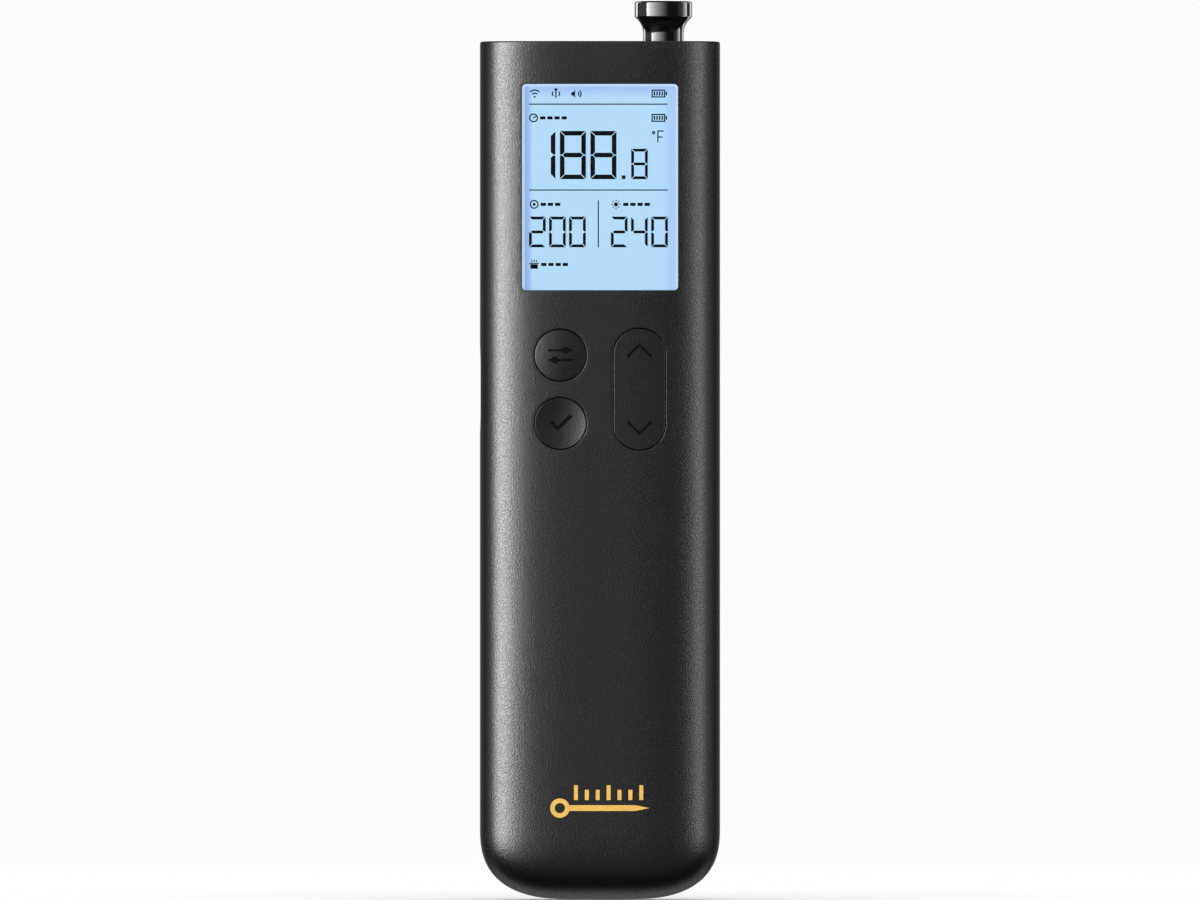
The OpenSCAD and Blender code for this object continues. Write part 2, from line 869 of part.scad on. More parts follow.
module rocker_pin() {
    reach = pivot_post_x + pivot_post_t / 2;
    color(steel) to_frame() rod_x(pivot_r, pivot_y, keys_z, key_x - reach, key_x + reach);
}

// Side key: pill-shaped, with a shallow scoop along its face
module power_key() {
    w = power_w - 2 * key_gap;
    h = power_hole_h - 2 * key_gap;
    back = power_seat_x + running_gap + power_flange_t;
    color(shell_colour) to_frame() difference() {
        union() {
            translate([power_face_x, 0, keys_z]) rotate([90, 0, 90])
                linear_extrude(power_seat_x + 0.5 - power_face_x) slot(w, h);
            translate([power_seat_x + running_gap, 0, keys_z]) rotate([90, 0, 90])
                linear_extrude(power_flange_t) slot(w + 1.6, h + 1.6);
            rod_x(power_stem_r, 0, keys_z, back - overlap, power_tip_x);
        }
        face_scoop();
        translate([power_face_x - 1, 0, keys_z]) rotate([90, 0, 90])
            linear_extrude(1 + scoop_depth + engrave_depth) power_picture();
    }
}

// Large-radius cylinder that hollows the side key's face
module face_scoop() {
    translate([power_face_x + scoop_depth - scoop_r, 0, keys_z - 12])
        cylinder(r = scoop_r, h = 24, $fn = 96);
}

// Plate behind the front keys that guides their stems, staked to the shell by four pegs
module key_guide() {
    back = guide_plate_y + guide_plate_t;
    color("#8d8f94") to_frame() difference() {
        union() {
            front_prism(guide_plate_y, back)
                translate([0, keys_z]) round_rect(guide_plate_w, guide_plate_h, 1);
            for (x = [-peg_x, peg_x], z = [-peg_z, peg_z])
                rod_y(1, x, keys_z + z, key_seat_y, guide_plate_y + overlap);
        }
        front_prism(guide_plate_y - 1, 0) translate([key_x, keys_z]) square([13.8, 4.4], center = true);
        for (i = [0:3])
            rod_y(i < 2 ? key_stem_r + running_gap : 2.1, switch_places[i].x, switch_places[i].y,
                  guide_plate_y - 1, back + 1);
    }
}

switch_places = [
    [-key_x, set_z], [-key_x, ok_z], [key_x, keys_z + rocker_reach], [key_x, keys_z - rocker_reach]
];

module front_switches() {
    color("#26262a") to_frame() for (p = switch_places)
        difference() {
            front_prism(switch_y, board_y) translate(p) square(switch_size, center = true);
            rod_y(plunger_r + running_gap, p.x, p.y, switch_y - 1, board_y - 0.5);
        }
}

module plunger_at(p) {
    rod_y(plunger_r, p.x, p.y, plunger_y, plunger_y + plunger_len);
}

module set_plunger() {
    color(black) to_frame() plunger_at(switch_places[0]);
}

module ok_plunger() {
    color(black) to_frame() plunger_at(switch_places[1]);
}

module rocker_plungers() {
    color(black) to_frame() for (i = [2, 3]) plunger_at(switch_places[i]);
}

module power_switch() {
    color("#26262a") to_frame() difference() {
        box([power_switch_x, board_back_y, keys_z - switch_size / 2],
            [power_switch_x + 4, board_back_y + 3.5, keys_z + switch_size / 2]);
        rod_x(power_plunger_r + running_gap, 0, keys_z, power_switch_x - 1, power_switch_x + 3);
    }
}

module power_plunger() {
    color(black) to_frame() rod_x(power_plunger_r, 0, keys_z, power_tip_x, power_switch_x + 2.3);
}

// ---------- Electronics ----------

module board_outline() {
    polygon([[-board_neck_half_w, board_bottom_z], [board_neck_half_w, board_bottom_z],
             [board_neck_half_w, board_neck_z], [board_half_w, board_neck_z],
             [board_half_w, board_top_z], [-board_half_w, board_top_z],
             [-board_half_w, board_neck_z], [-board_neck_half_w, board_neck_z]]);
}

module main_board() {
    color(board_green) to_frame() difference() {
        front_prism(board_y, board_back_y) board_outline();
        for (side = [-1, 1], z = board_post_zs)
            rod_y(1.1, side * board_post_x, z, board_y - 1, board_back_y + 1);
    }
}

module board_screws() {
    color(steel) to_frame() for (side = [-1, 1], z = board_post_zs) {
        rod_y(board_screw_r, side * board_post_x, z, board_y - 4, board_back_y);
        rod_y(1.8, side * board_post_x, z, board_back_y, board_back_y + 1.1);
    }
}

module radio_can() {
    color(steel) to_frame() {
        difference() {
            box(can_low, can_high);
            box(can_low + [can_wall, -1, can_wall], can_high - [can_wall, can_wall, can_wall]);
        }
    }
}

module main_chip() {
    color(black) to_frame() box(chip_low, chip_low + chip_size);
}

// Rows of small surface-mount parts
module board_parts() {
    color("#b08d57") to_frame() for (row = [0:2], i = [0:4]) {
        low = [2.4 + part_pitch.x * i, board_back_y, 88 + part_pitch.y * row];
        box(low, low + part_size);
    }
}

module chip_antenna() {
    color("#e9e4d4") to_frame() box(antenna_low, antenna_low + antenna_size);
}

module buzzer() {
    color(black) to_frame() difference() {
        rod_y(buzzer_r, buzzer_x, buzzer_z, board_back_y, board_back_y + buzzer_t);
        rod_y(1, buzzer_x, buzzer_z, board_back_y + 2, board_back_y + buzzer_t + 1);
    }
}

module usb_shell() {
    color(steel) to_frame() difference() {
        translate([0, 0, port_z]) linear_extrude(port_len) slot(port_w, port_h);
        translate([0, 0, port_z - 1]) linear_extrude(port_len + 0.4) slot(port_w - 0.6, port_h - 0.6);
    }
}

module usb_tongue() {
    color(black) to_frame() {
        translate([0, 0, port_z + port_len - 1.5]) linear_extrude(0.9) slot(port_w - 0.7, port_h - 0.7);
        box([-3.35, -0.35, port_z + 1.2], [3.35, 0.35, port_z + port_len - 1]);
    }
}

module port_seal() {
    color(silicone) to_frame() translate([0, 0, wall + 0.04]) linear_extrude(0.9) difference() {
        slot(11, 5.2);
        slot(port_w + 0.06, port_h + 0.06);
    }
}

module battery_cell() {
    color("#7d8790") to_frame() front_prism(cell_y, cell_y + cell_t)
        translate([cell_x, cell_z + cell_h / 2]) round_rect(cell_w, cell_h, 1.5);
}

module battery_foam() {
    color("#55585c") to_frame() box(foam_low, foam_high);
}

// Two wires from the top of the cell up into the plug
module battery_leads() {
    color("#b3262b") to_frame() for (side = [-1, 1])
        translate([socket_x + side, cell_y + 1.4, cell_z + cell_h])
            cylinder(r = lead_r, h = socket_z - 2 - cell_z - cell_h);
}

module battery_plug() {
    color("#ece7da") to_frame()
        box([socket_x - 2.4, board_back_y + socket_t, socket_z - 2],
            [socket_x + 2.4, board_back_y + socket_t + 2.6, socket_z + 1.4]);
}

module battery_socket() {
    color("#ece7da") to_frame()
        box([socket_x - 3, board_back_y, socket_z - 1.8],
            [socket_x + 3, board_back_y + socket_t, socket_z + 1.8]);
}

// ---------- Probe dock ----------

module probe_sleeve() {
    color("#3d3f44") to_frame() difference() {
        union() {
            probe_rod(sleeve_upper_r, sleeve_step_z, sleeve_top_z);
            probe_rod(sleeve_lower_r, sleeve_bottom_z, sleeve_step_z + 0.5);
        }
        probe_rod(sleeve_upper_bore_r, neck_bottom_z - collar_h - 0.4, sleeve_top_z + 1);
        probe_rod(sleeve_lower_bore_r, tip_z - 0.6, sleeve_top_z);
        probe_rod(pin_r + 0.1, sleeve_bottom_z - 1, tip_z);
        box([probe_x - 1.2, probe_y - 6, neck_bottom_z - 2.6],
            [probe_x + 1.2, probe_y - 2, neck_bottom_z - 0.4]);
    }
}

module tip_contact() {
    color(gold) to_frame() {
        probe_rod(pin_r, sleeve_bottom_z - 0.8, tip_z - running_gap);
        probe_rod(2 * pin_r, sleeve_bottom_z - 1.2, sleeve_bottom_z);
    }
}

// Leaf on the board whose finger reaches the probe's collar through the sleeve
module collar_contact() {
    color(gold) to_frame() {
        box([probe_x - 1, board_back_y, neck_bottom_z - 9],
            [probe_x + 1, board_back_y + 0.3, neck_bottom_z - 0.7]);
        box([probe_x - 1, board_back_y, neck_bottom_z - 2.2],
            [probe_x + 1, probe_y - collar_r - running_gap, neck_bottom_z - 0.7]);
    }
}

// ---------- Probe ----------

// Black ceramic handle: flat-topped head, flare and long neck, hollow from below
module probe_head() {
    bore_r = 2.3;
    chamfer = 0.45;
    flare_r = 3.5;
    flare_z = 1.5;
    flare_end = 136;
    h = top_z - neck_bottom_z;
    color(black) to_frame() translate([probe_x, probe_y, neck_bottom_z]) difference() {
        rotate_extrude($fn = 96) polygon(concat(
            [[0, 0], [neck_r, 0]],
            arc([neck_r + flare_r, h + flare_z], flare_r, 180, flare_end, 8),
            [[head_r, h + 4.5]],
            arc([head_r - chamfer, h + head_out - chamfer], chamfer, 0, 90, 5),
            [[0, h + head_out]]));
        translate([0, 0, -1]) cylinder(r = bore_r, h = h - 2);
    }
}

module probe_collar() {
    color(steel) to_frame() difference() {
        probe_rod(collar_r, neck_bottom_z - collar_h, neck_bottom_z);
        probe_rod(stem_r, neck_bottom_z - collar_h - 1, neck_bottom_z + 1);
    }
}

module probe_stem() {
    color(steel) to_frame() difference() {
        probe_rod(stem_r, tip_z + tip_h, neck_bottom_z);
        probe_rod(stem_r - stem_wall, tip_z + tip_h - 1, neck_bottom_z + 1);
    }
}

module probe_tip() {
    color(steel) to_frame() translate([probe_x, probe_y, tip_z]) {
        translate([0, 0, 0.6]) cylinder(r1 = 0.35, r2 = stem_r, h = tip_h - 0.6);
        cylinder(r = 0.35, h = 0.7);
    }
}

module probe_cell() {
    color("#4a7fb5") to_frame() probe_rod(stem_r - stem_wall - 0.1, 84, 112);
}

module probe_board() {
    color(board_green) to_frame()
        box([probe_x - 1.9, probe_y - 0.3, 44], [probe_x + 1.9, probe_y + 0.3, 83]);
}

module probe_antenna() {
    color(gold) to_frame() probe_rod(0.6, 122, 144);
}

module probe_sensors() {
    color("#d8d2c0") to_frame() for (z = [36.5, 39.5, 42.5]) probe_rod(0.8, z, z + 1.2);
}

// ---------- Nodes ----------

front_shell();
rear_shell();
top_cap();
probe_bush();
shell_gasket();
back_pad();
magnets();
shell_screws();
front_badge();
display_window();
window_tape();
lcd_panel();
lcd_segments();
light_guide();
lcd_frame();
lcd_connector();
backlight_leds();
set_key();
ok_key();
rocker_key();
power_key();
rocker_pin();
key_guide();
front_switches();
set_plunger();
ok_plunger();
rocker_plungers();
power_switch();
power_plunger();
main_board();
board_screws();
radio_can();
main_chip();
board_parts();
chip_antenna();
buzzer();
usb_shell();
usb_tongue();
port_seal();
battery_cell();
battery_foam();
battery_leads();
battery_plug();
battery_socket();
probe_sleeve();
tip_contact();
collar_contact();
probe_head();
probe_collar();
probe_stem();
probe_tip();
probe_cell();
probe_board();
probe_antenna();
probe_sensors();
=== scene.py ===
"""Looks of the handheld wireless food thermometer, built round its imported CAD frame.

Shapes are written in millimetres in housing coordinates: x and y from the middle of the
housing, z up from its bottom end, display facing -y. Mesh.piece() moves them to the row frame.
"""
import json
import math

import bmesh
import bpy
import numpy as np
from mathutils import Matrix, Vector
from mathutils.geometry import delaunay_2d_cdt

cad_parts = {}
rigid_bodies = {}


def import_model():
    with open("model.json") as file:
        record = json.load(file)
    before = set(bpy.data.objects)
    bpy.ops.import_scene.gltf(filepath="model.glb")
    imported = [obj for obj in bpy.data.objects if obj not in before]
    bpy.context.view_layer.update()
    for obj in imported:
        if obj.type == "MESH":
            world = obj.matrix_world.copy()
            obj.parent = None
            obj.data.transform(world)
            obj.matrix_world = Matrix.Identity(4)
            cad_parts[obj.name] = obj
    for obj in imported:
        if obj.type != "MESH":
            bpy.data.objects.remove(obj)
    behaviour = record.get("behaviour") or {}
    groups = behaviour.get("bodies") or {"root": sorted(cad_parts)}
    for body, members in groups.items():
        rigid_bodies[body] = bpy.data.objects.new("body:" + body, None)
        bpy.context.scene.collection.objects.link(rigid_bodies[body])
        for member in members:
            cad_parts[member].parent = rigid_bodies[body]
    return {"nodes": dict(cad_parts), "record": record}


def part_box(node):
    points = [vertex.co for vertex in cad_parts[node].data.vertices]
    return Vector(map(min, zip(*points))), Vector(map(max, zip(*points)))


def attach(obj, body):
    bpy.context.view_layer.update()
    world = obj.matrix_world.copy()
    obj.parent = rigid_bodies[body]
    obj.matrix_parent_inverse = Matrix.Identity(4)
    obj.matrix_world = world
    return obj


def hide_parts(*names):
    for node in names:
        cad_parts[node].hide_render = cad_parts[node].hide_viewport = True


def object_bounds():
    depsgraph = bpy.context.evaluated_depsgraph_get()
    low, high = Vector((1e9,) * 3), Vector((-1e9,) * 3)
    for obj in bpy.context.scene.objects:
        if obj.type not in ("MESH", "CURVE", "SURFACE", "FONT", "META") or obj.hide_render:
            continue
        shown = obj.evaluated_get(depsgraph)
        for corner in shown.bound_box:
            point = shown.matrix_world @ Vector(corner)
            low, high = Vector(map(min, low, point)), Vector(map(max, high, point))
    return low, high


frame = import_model()
cad_low, cad_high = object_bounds()

# ---------- Sizes ----------

shell_low, shell_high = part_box("front_shell")
back_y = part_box("rear_shell")[1].y
HALF_W = shell_high.x * 1000
HALF_D = (back_y - shell_low.y) * 500
HEIGHT = (shell_high.z - shell_low.z) * 1000
ORIGIN = np.array([0, (back_y + shell_low.y) / 2, shell_low.z])
WALL = 1.8
POWER = 4                       # exponent of the cross-section's rounded outline
BOTTOM_H, BOTTOM_N = 12.5, 2.6  # height of the rounded bottom end, and its exponent
BASE_W, BASE_D = 4.8, 2.0       # half width and depth of the flat that it closes down to
SPLIT_Y = 6.0                   # depth of the line where the two shells part
SPLIT_GAP = 0.05                # half of the gap along it


def box_mm(node):
    """A CAD node's lowest and highest corner in housing millimetres."""
    low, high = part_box(node)
    return (np.array(low) - ORIGIN) * 1000, (np.array(high) - ORIGIN) * 1000


def middle(node):
    """The centre of a CAD node's box."""
    low, high = box_mm(node)
    return (low + high) / 2


WINDOW_Z = middle("lcd_panel")[2]
SET_C, OK_C = middle("set_key"), middle("ok_key")
ROCKER_C, POWER_C = middle("rocker_key"), middle("power_key")

# Openings in the shells
WINDOW_W, WINDOW_H, WINDOW_R = 27.2, 36, 0.7
KEY_R = 4.65
ROCKER_W, ROCKER_H = 9.3, 21.5
SIDE_W, SIDE_H = 9.2, 17
GAP = 0.18                      # round every key
PAD_W, PAD_H, PAD_Z, PAD_R = 24, 100, 75, 6
PAD_DEPTH = 0.6
SCREW_X, SCREW_Z, SCREW_R, SCREW_SEAT_Y = 12, 14, 2.2, 10.6
SOUND_X, SOUND_Z, SOUND_RING, SOUND_R = -8, 134, 2.6, 0.6
PORT_W, PORT_H = 9.4, 3.6

# ---------- Materials ----------

MATS = {}


def new_material(slot):
    """Makes a slot's material. Returns its node tree and its shader."""
    mat = bpy.data.materials.new(slot)
    mat.use_nodes = True
    MATS[slot] = mat
    tree = mat.node_tree
    return tree, tree.nodes["Principled BSDF"]


def put(node, values):
    """Sets some of a node's inputs."""
    for name, value in values.items():
        node.inputs[name].default_value = value


def noise(tree, scale, detail=2.0, stretch=(1, 1, 1)):
    """Noise in the row frame: scale is in features per metre."""
    coords = tree.nodes.new("ShaderNodeTexCoord")
    mapping = tree.nodes.new("ShaderNodeMapping")
    put(mapping, {"Scale": stretch})
    texture = tree.nodes.new("ShaderNodeTexNoise")
    put(texture, {"Scale": scale, "Detail": detail})
    tree.links.new(coords.outputs["Object"], mapping.inputs["Vector"])
    tree.links.new(mapping.outputs["Vector"], texture.inputs["Vector"])
    return texture.outputs["Fac"]


def ramp(tree, fac, stops):
    """Colour from a value, through stops of (value, colour)."""
    node = tree.nodes.new("ShaderNodeValToRGB")
    while len(node.color_ramp.elements) < len(stops):
        node.color_ramp.elements.new(0.5)
    for element, (at, colour) in zip(node.color_ramp.elements, stops):
        element.position = at
        element.color = (*colour, 1)
    tree.links.new(fac, node.inputs["Fac"])
    return node.outputs["Color"]


def spread(tree, value, low, high, start=0.35, end=0.65, smooth=False):
    """Takes a value that runs from start to end to one that runs from low to high."""
    node = tree.nodes.new("ShaderNodeMapRange")
    if smooth:
        node.interpolation_type = "SMOOTHSTEP"
    put(node, {"From Min": start, "From Max": end, "To Min": low, "To Max": high})
    tree.links.new(value, node.inputs["Value"])
    return node.outputs["Result"]


def compute(tree, operation, *values):
    """Result of a Math node on numbers or other nodes' outputs."""
    node = tree.nodes.new("ShaderNodeMath")
    node.operation = operation
    for socket, value in zip(node.inputs, values):
        if isinstance(value, (int, float)):
            socket.default_value = value
        else:
            tree.links.new(value, socket)
    return node.outputs[0]


def largest(tree, total, *values):
    """The largest of several values."""
    for value in values:
        total = compute(tree, "MAXIMUM", total, value)
    return total


def blend(tree, fac, one, two):
    """Mix of two shaders."""
    node = tree.nodes.new("ShaderNodeMixShader")
    for socket, output in zip(node.inputs, (fac, one, two)):
        tree.links.new(output, socket)
    return node.outputs[0]


def bump(tree, shader, fac, depth):
    """Relief in the shading alone, up to depth in metres."""
    node = tree.nodes.new("ShaderNodeBump")
    put(node, {"Distance": depth, "Strength": 1.0})
    tree.links.new(fac, node.inputs["Height"])
    tree.links.new(node.outputs["Normal"], shader.inputs["Normal"])


def surface(slot, colour, rough, metal=0.0, vary=0.12, mottle=300, grain=2500, depth=4e-6,
            rough_vary=0.06, stretch=(1, 1, 1), specular=0.5):
    """A moulded, metal or painted finish with mottled colour, uneven gloss and fine grain.
    mottle and grain are in features per metre, and depth is the grain's, in metres."""
    tree, shader = new_material(slot)
    put(shader, {"Metallic": metal, "Specular IOR Level": specular})
    cloud = noise(tree, mottle, 3.0, stretch)
    fine = noise(tree, grain, 3.0, stretch)
    dark = tuple(c * (1 - vary) for c in colour)
    light = tuple(min(1, c * (1 + vary)) for c in colour)
    tree.links.new(ramp(tree, cloud, ((0.35, dark), (0.65, light))), shader.inputs["Base Color"])
    gloss = spread(tree, fine, rough - rough_vary, rough + rough_vary)
    tree.links.new(gloss, shader.inputs["Roughness"])
    bump(tree, shader, fine, depth)


def satin(slot, tone, rough, flakes=1.0):
    """Charcoal metallic satin: fine flakes that sparkle where light rakes across them. Its
    tint keeps reflections at grazing angles dark."""
    tree, shader = new_material(slot)
    put(shader, {"Metallic": 1.0, "Specular Tint": (0.4, 0.4, 0.4, 1)})
    flake = noise(tree, 4700, 1.0)
    stops = [(at, (tone * k,) * 3) for at, k in ((0.32, 0.83), (0.5, 1), (0.68, 1.28))]
    tree.links.new(ramp(tree, flake, stops), shader.inputs["Base Color"])
    gloss = spread(tree, flake, rough + 0.05 * flakes, rough - 0.05 * flakes)
    tree.links.new(gloss, shader.inputs["Roughness"])
    bump(tree, shader, flake, 48e-6 * flakes)


satin("shell", 0.078, 0.335)
satin("cap", 0.07, 0.44, 0.7)
satin("keys", 0.075, 0.335, 0.8)
surface("rubber_black", (0.003, 0.003, 0.003), 0.75, vary=0.25, grain=4000, depth=6e-6,
        specular=0.08)
surface("back_pad", (0.024, 0.024, 0.026), 0.8, vary=0.2, mottle=900, grain=5200, depth=16e-6)
surface("tape", (0.012, 0.012, 0.012), 0.85, grain=3000)
surface("white_plastic", (0.72, 0.72, 0.7), 0.45, vary=0.05)
surface("grey_plastic", (0.16, 0.165, 0.175), 0.5, vary=0.1, depth=6e-6)
surface("zebra_rubber", (0.5, 0.24, 0.3), 0.6, stretch=(14, 1, 1), vary=0.5)
surface("led", (0.86, 0.8, 0.48), 0.25, vary=0.08)
surface("diffuser", (0.88, 0.92, 0.98), 0.35, vary=0.03)
surface("nickel", (0.68, 0.67, 0.64), 0.3, metal=1, vary=0.08, stretch=(1, 1, 0.15), depth=2e-6)
surface("screw_steel", (0.32, 0.32, 0.33), 0.34, metal=1, vary=0.2, depth=3e-6)
surface("probe_steel", (0.62, 0.62, 0.62), 0.24, metal=1, vary=0.1, mottle=700, grain=2200,
        stretch=(1, 1, 14), depth=1.5e-6, rough_vary=0.07)
surface("gold_mark", (0.95, 0.545, 0.105), 0.5, vary=0.06, mottle=900, grain=6000, depth=3e-6)
surface("gold_contact", (0.95, 0.67, 0.3), 0.25, metal=1, vary=0.08)
surface("switch_black", (0.02, 0.02, 0.02), 0.55, vary=0.2)
surface("chip", (0.016, 0.016, 0.017), 0.6, vary=0.25, grain=6000, depth=5e-6)
surface("chip_ceramic", (0.5, 0.4, 0.27), 0.4, vary=0.2)
surface("battery_foil", (0.56, 0.57, 0.58), 0.32, metal=0.9, vary=0.1, mottle=120, grain=260,
        depth=60e-6)
surface("foam", (0.07, 0.07, 0.075), 0.95, vary=0.4, grain=1800, depth=90e-6)
surface("lead_red", (0.45, 0.015, 0.015), 0.42, vary=0.1)


def ceramic(slot):
    """Polished black ceramic: a hard clear gloss with the faint haze of handling."""
    tree, shader = new_material(slot)
    put(shader, {"Specular IOR Level": 0.72, "Coat Weight": 0.6, "Coat Roughness": 0.03})
    haze = noise(tree, 160, 4.0)
    black = ramp(tree, haze, ((0.3, (0.0015, 0.0015, 0.002)), (0.7, (0.003, 0.003, 0.0035))))
    tree.links.new(black, shader.inputs["Base Color"])
    tree.links.new(spread(tree, haze, 0.05, 0.11), shader.inputs["Roughness"])
    bump(tree, shader, noise(tree, 900, 2.0), 1e-6)


def circuit(slot):
    """Green solder mask over copper tracks that show as slightly raised, lighter lines."""
    tree, shader = new_material(slot)
    coords = tree.nodes.new("ShaderNodeTexCoord")
    brick = tree.nodes.new("ShaderNodeTexBrick")
    turned = tree.nodes.new("ShaderNodeMapping")
    put(turned, {"Rotation": (math.pi / 2, 0, 0)})
    put(brick, {"Scale": 420, "Mortar Size": 0.09, "Brick Width": 1.4, "Row Height": 0.5,
                "Color1": (0.011, 0.11, 0.045, 1), "Color2": (0.014, 0.135, 0.055, 1),
                "Mortar": (0.03, 0.24, 0.1, 1)})
    tree.links.new(coords.outputs["Object"], turned.inputs["Vector"])
    tree.links.new(turned.outputs["Vector"], brick.inputs["Vector"])
    tree.links.new(brick.outputs["Color"], shader.inputs["Base Color"])
    tree.links.new(spread(tree, noise(tree, 900), 0.24, 0.34), shader.inputs["Roughness"])
    bump(tree, shader, brick.outputs["Fac"], 12e-6)


def panel_glow(slot):
    """Backlit panel: pale blue, with painted shade that makes it darker and more violet by its top
    and sides, and a thin painted rim of pale light.
    """
    tree, shader = new_material(slot)
    low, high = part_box("lcd_panel")
    mid = (low + high) / 2
    coords = tree.nodes.new("ShaderNodeTexCoord")
    parts = tree.nodes.new("ShaderNodeSeparateXYZ")
    tree.links.new(coords.outputs["Object"], parts.inputs["Vector"])

    def shadow(axis, start, end, depth):
        """Grows from 0 to depth between two places, in mm from the panel's middle; it shapes the
        painted shade and the painted rim of light.
        """
        centre = {"X": mid.x, "Z": mid.z}[axis]
        return spread(tree, parts.outputs[axis], 0, depth, centre + start / 1000,
                      centre + end / 1000, smooth=True)

    # Painted shade: darker, more violet blue towards the left, right and top edges, where the
    # shell's opening shades the recessed panel
    far = largest(tree, shadow("X", -11.6, -12.8, 0.95), shadow("X", 10.6, 12.6, 0.36),
                  shadow("Z", 15.2, 17.8, 0.66))
    # uneven holds random mottling in the glow plus the painted shade
    uneven = compute(tree, "MULTIPLY_ADD", noise(tree, 90, 1.0), 0.08, far)
    blue = ramp(tree, uneven, ((0.04, (0.49, 0.765, 1.0)), (0.4, (0.43, 0.655, 1.0)),
                               (0.7, (0.38, 0.58, 0.945)), (1.0, (0.325, 0.49, 0.83))))
    # Painted light: a thin pale rim at the left, right and top edges, standing in for the lit walls
    # of the opening
    rim = largest(tree, shadow("X", -13.1, -13.3, 1), shadow("X", 13.1, 13.3, 1),
                  shadow("Z", 17.5, 17.7, 1))
    mix = tree.nodes.new("ShaderNodeMix")
    mix.data_type = "RGBA"
    sockets = {socket.identifier: socket for socket in (*mix.inputs, *mix.outputs)}
    tree.links.new(rim, sockets["Factor_Float"])
    tree.links.new(blue, sockets["A_Color"])
    # Colour of the painted pale rim of light
    sockets["B_Color"].default_value = (0.6, 0.8, 1, 1)
    tree.links.new(sockets["Result_Color"], shader.inputs["Emission Color"])
    put(shader, {"Emission Strength": 1.0, "Base Color": (0.02, 0.03, 0.045, 1),
                 "Roughness": 0.5})


def ink(slot):
    """Liquid-crystal segments: near-black, a little uneven, faintly blue from the light behind."""
    tree, shader = new_material(slot)
    black = ramp(tree, noise(tree, 500), ((0.3, (0.006, 0.006, 0.007)),
                                          (0.7, (0.011, 0.011, 0.013))))
    tree.links.new(black, shader.inputs["Base Color"])
    tree.links.new(spread(tree, noise(tree, 1500), 0.5, 0.7), shader.inputs["Roughness"])
    put(shader, {"Specular IOR Level": 0.1})


def clear(slot):
    """Clear hard-coated window."""
    tree, shader = new_material(slot)
    put(shader, {"Base Color": (0.97, 0.985, 1.0, 1), "Transmission Weight": 1.0, "IOR": 1.49})
    tree.links.new(spread(tree, noise(tree, 220, 4.0), 0.0, 0.02), shader.inputs["Roughness"])


ceramic("ceramic")
circuit("board")
panel_glow("lcd_glow")
ink("lcd_ink")
clear("window")

for part in frame["record"]["subparts"]:
    data = frame["nodes"][part["node"]].data
    data.materials.clear()
    data.materials.append(MATS[part["material_slot"]])

# ---------- Mesh helpers ----------


class Mesh:
    """Vertices and faces in housing millimetres, gathered and then made into one piece."""

    def __init__(self):
        self.verts, self.faces = [], []

    def add(self, points):
        start = len(self.verts)
        self.verts.extend(map(tuple, points))
        return list(range(start, len(self.verts)))

    def bridge(self, a, b):
        """Quads between two closed rings of vertex numbers."""
        n = len(a)
        self.faces += [(a[i], a[(i + 1) % n], b[(i + 1) % n], b[i]) for i in range(n)]

    def loft(self, rings, caps=True, closed=False):
        """Skin through rings of points; flat caps, or closed back onto the first ring."""
        ids = [self.add(r) for r in rings]
        for a, b in zip(ids, ids[1:]):
            self.bridge(a, b)
        if closed:
            self.bridge(ids[-1], ids[0])
        elif caps:
            self.cap(ids[0])
            self.cap(ids[-1])
        return ids

    def cap(self, ring):
        """Flat end on a ring, with a narrow band inside its rim that keeps the shading flat."""
        points = np.array([self.verts[i] for i in ring])
        inward = points.mean(axis=0) - points
        inner = self.add(points + inward / np.linalg.norm(inward, axis=1)[:, None] * 0.03)
        self.bridge(ring, inner)
        self.faces.append(tuple(inner))

    def piece(self, name, slot, body, *nodes, sharp=32, cut=None):
        """Makes the object. cut = (y, keep) cuts it at depth y and keeps the side towards keep."""
        data = bpy.data.meshes.new(name)
        data.from_pydata((np.array(self.verts) / 1000 + ORIGIN).tolist(), [], self.faces)
        bm = bmesh.new()
        bm.from_mesh(data)
        bmesh.ops.remove_doubles(bm, verts=bm.verts, dist=1.5e-6)
        bmesh.ops.dissolve_degenerate(bm, edges=bm.edges, dist=1e-7)
        if cut:
            y, keep = cut
            got = bmesh.ops.bisect_plane(
                bm, geom=bm.verts[:] + bm.edges[:] + bm.faces[:], clear_inner=True,
                plane_co=Vector((0, y / 1000 + ORIGIN[1], 0)), plane_no=(0, keep, 0))
            edges = [e for e in got["geom_cut"] if isinstance(e, bmesh.types.BMEdge)]
            rim = [e for e in edges if e.is_boundary]
            bmesh.ops.triangle_fill(bm, edges=rim, use_beauty=True, use_dissolve=False)
        bmesh.ops.recalc_face_normals(bm, faces=bm.faces)
        bm.to_mesh(data)
        bm.free()
        data.shade_smooth()
        data.set_sharp_from_angle(angle=math.radians(sharp))
        data.materials.append(MATS[slot])
        piece = bpy.data.objects.new(name, data)
        bpy.context.scene.collection.objects.link(piece)
        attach(piece, body)
        if nodes:
            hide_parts(*nodes)
        return piece


def inside(loop, points):
    """Which points lie inside a closed loop."""
    x, y = points[:, 0][:, None], points[:, 1][:, None]
    a, b = loop, np.roll(loop, -1, axis=0)
    up = (a[:, 1] > y) != (b[:, 1] > y)
    rise = np.where(a[:, 1] == b[:, 1], 1e-12, b[:, 1] - a[:, 1])
    left = x < (b[:, 0] - a[:, 0]) * (y - a[:, 1]) / rise + a[:, 0]
    return (up & left).sum(1) % 2 == 1


def near(loop, points, reach):
    """Which points lie within reach of a closed loop's corners."""
    return (np.linalg.norm(points[:, None] - loop[None], axis=2) < reach).any(1)


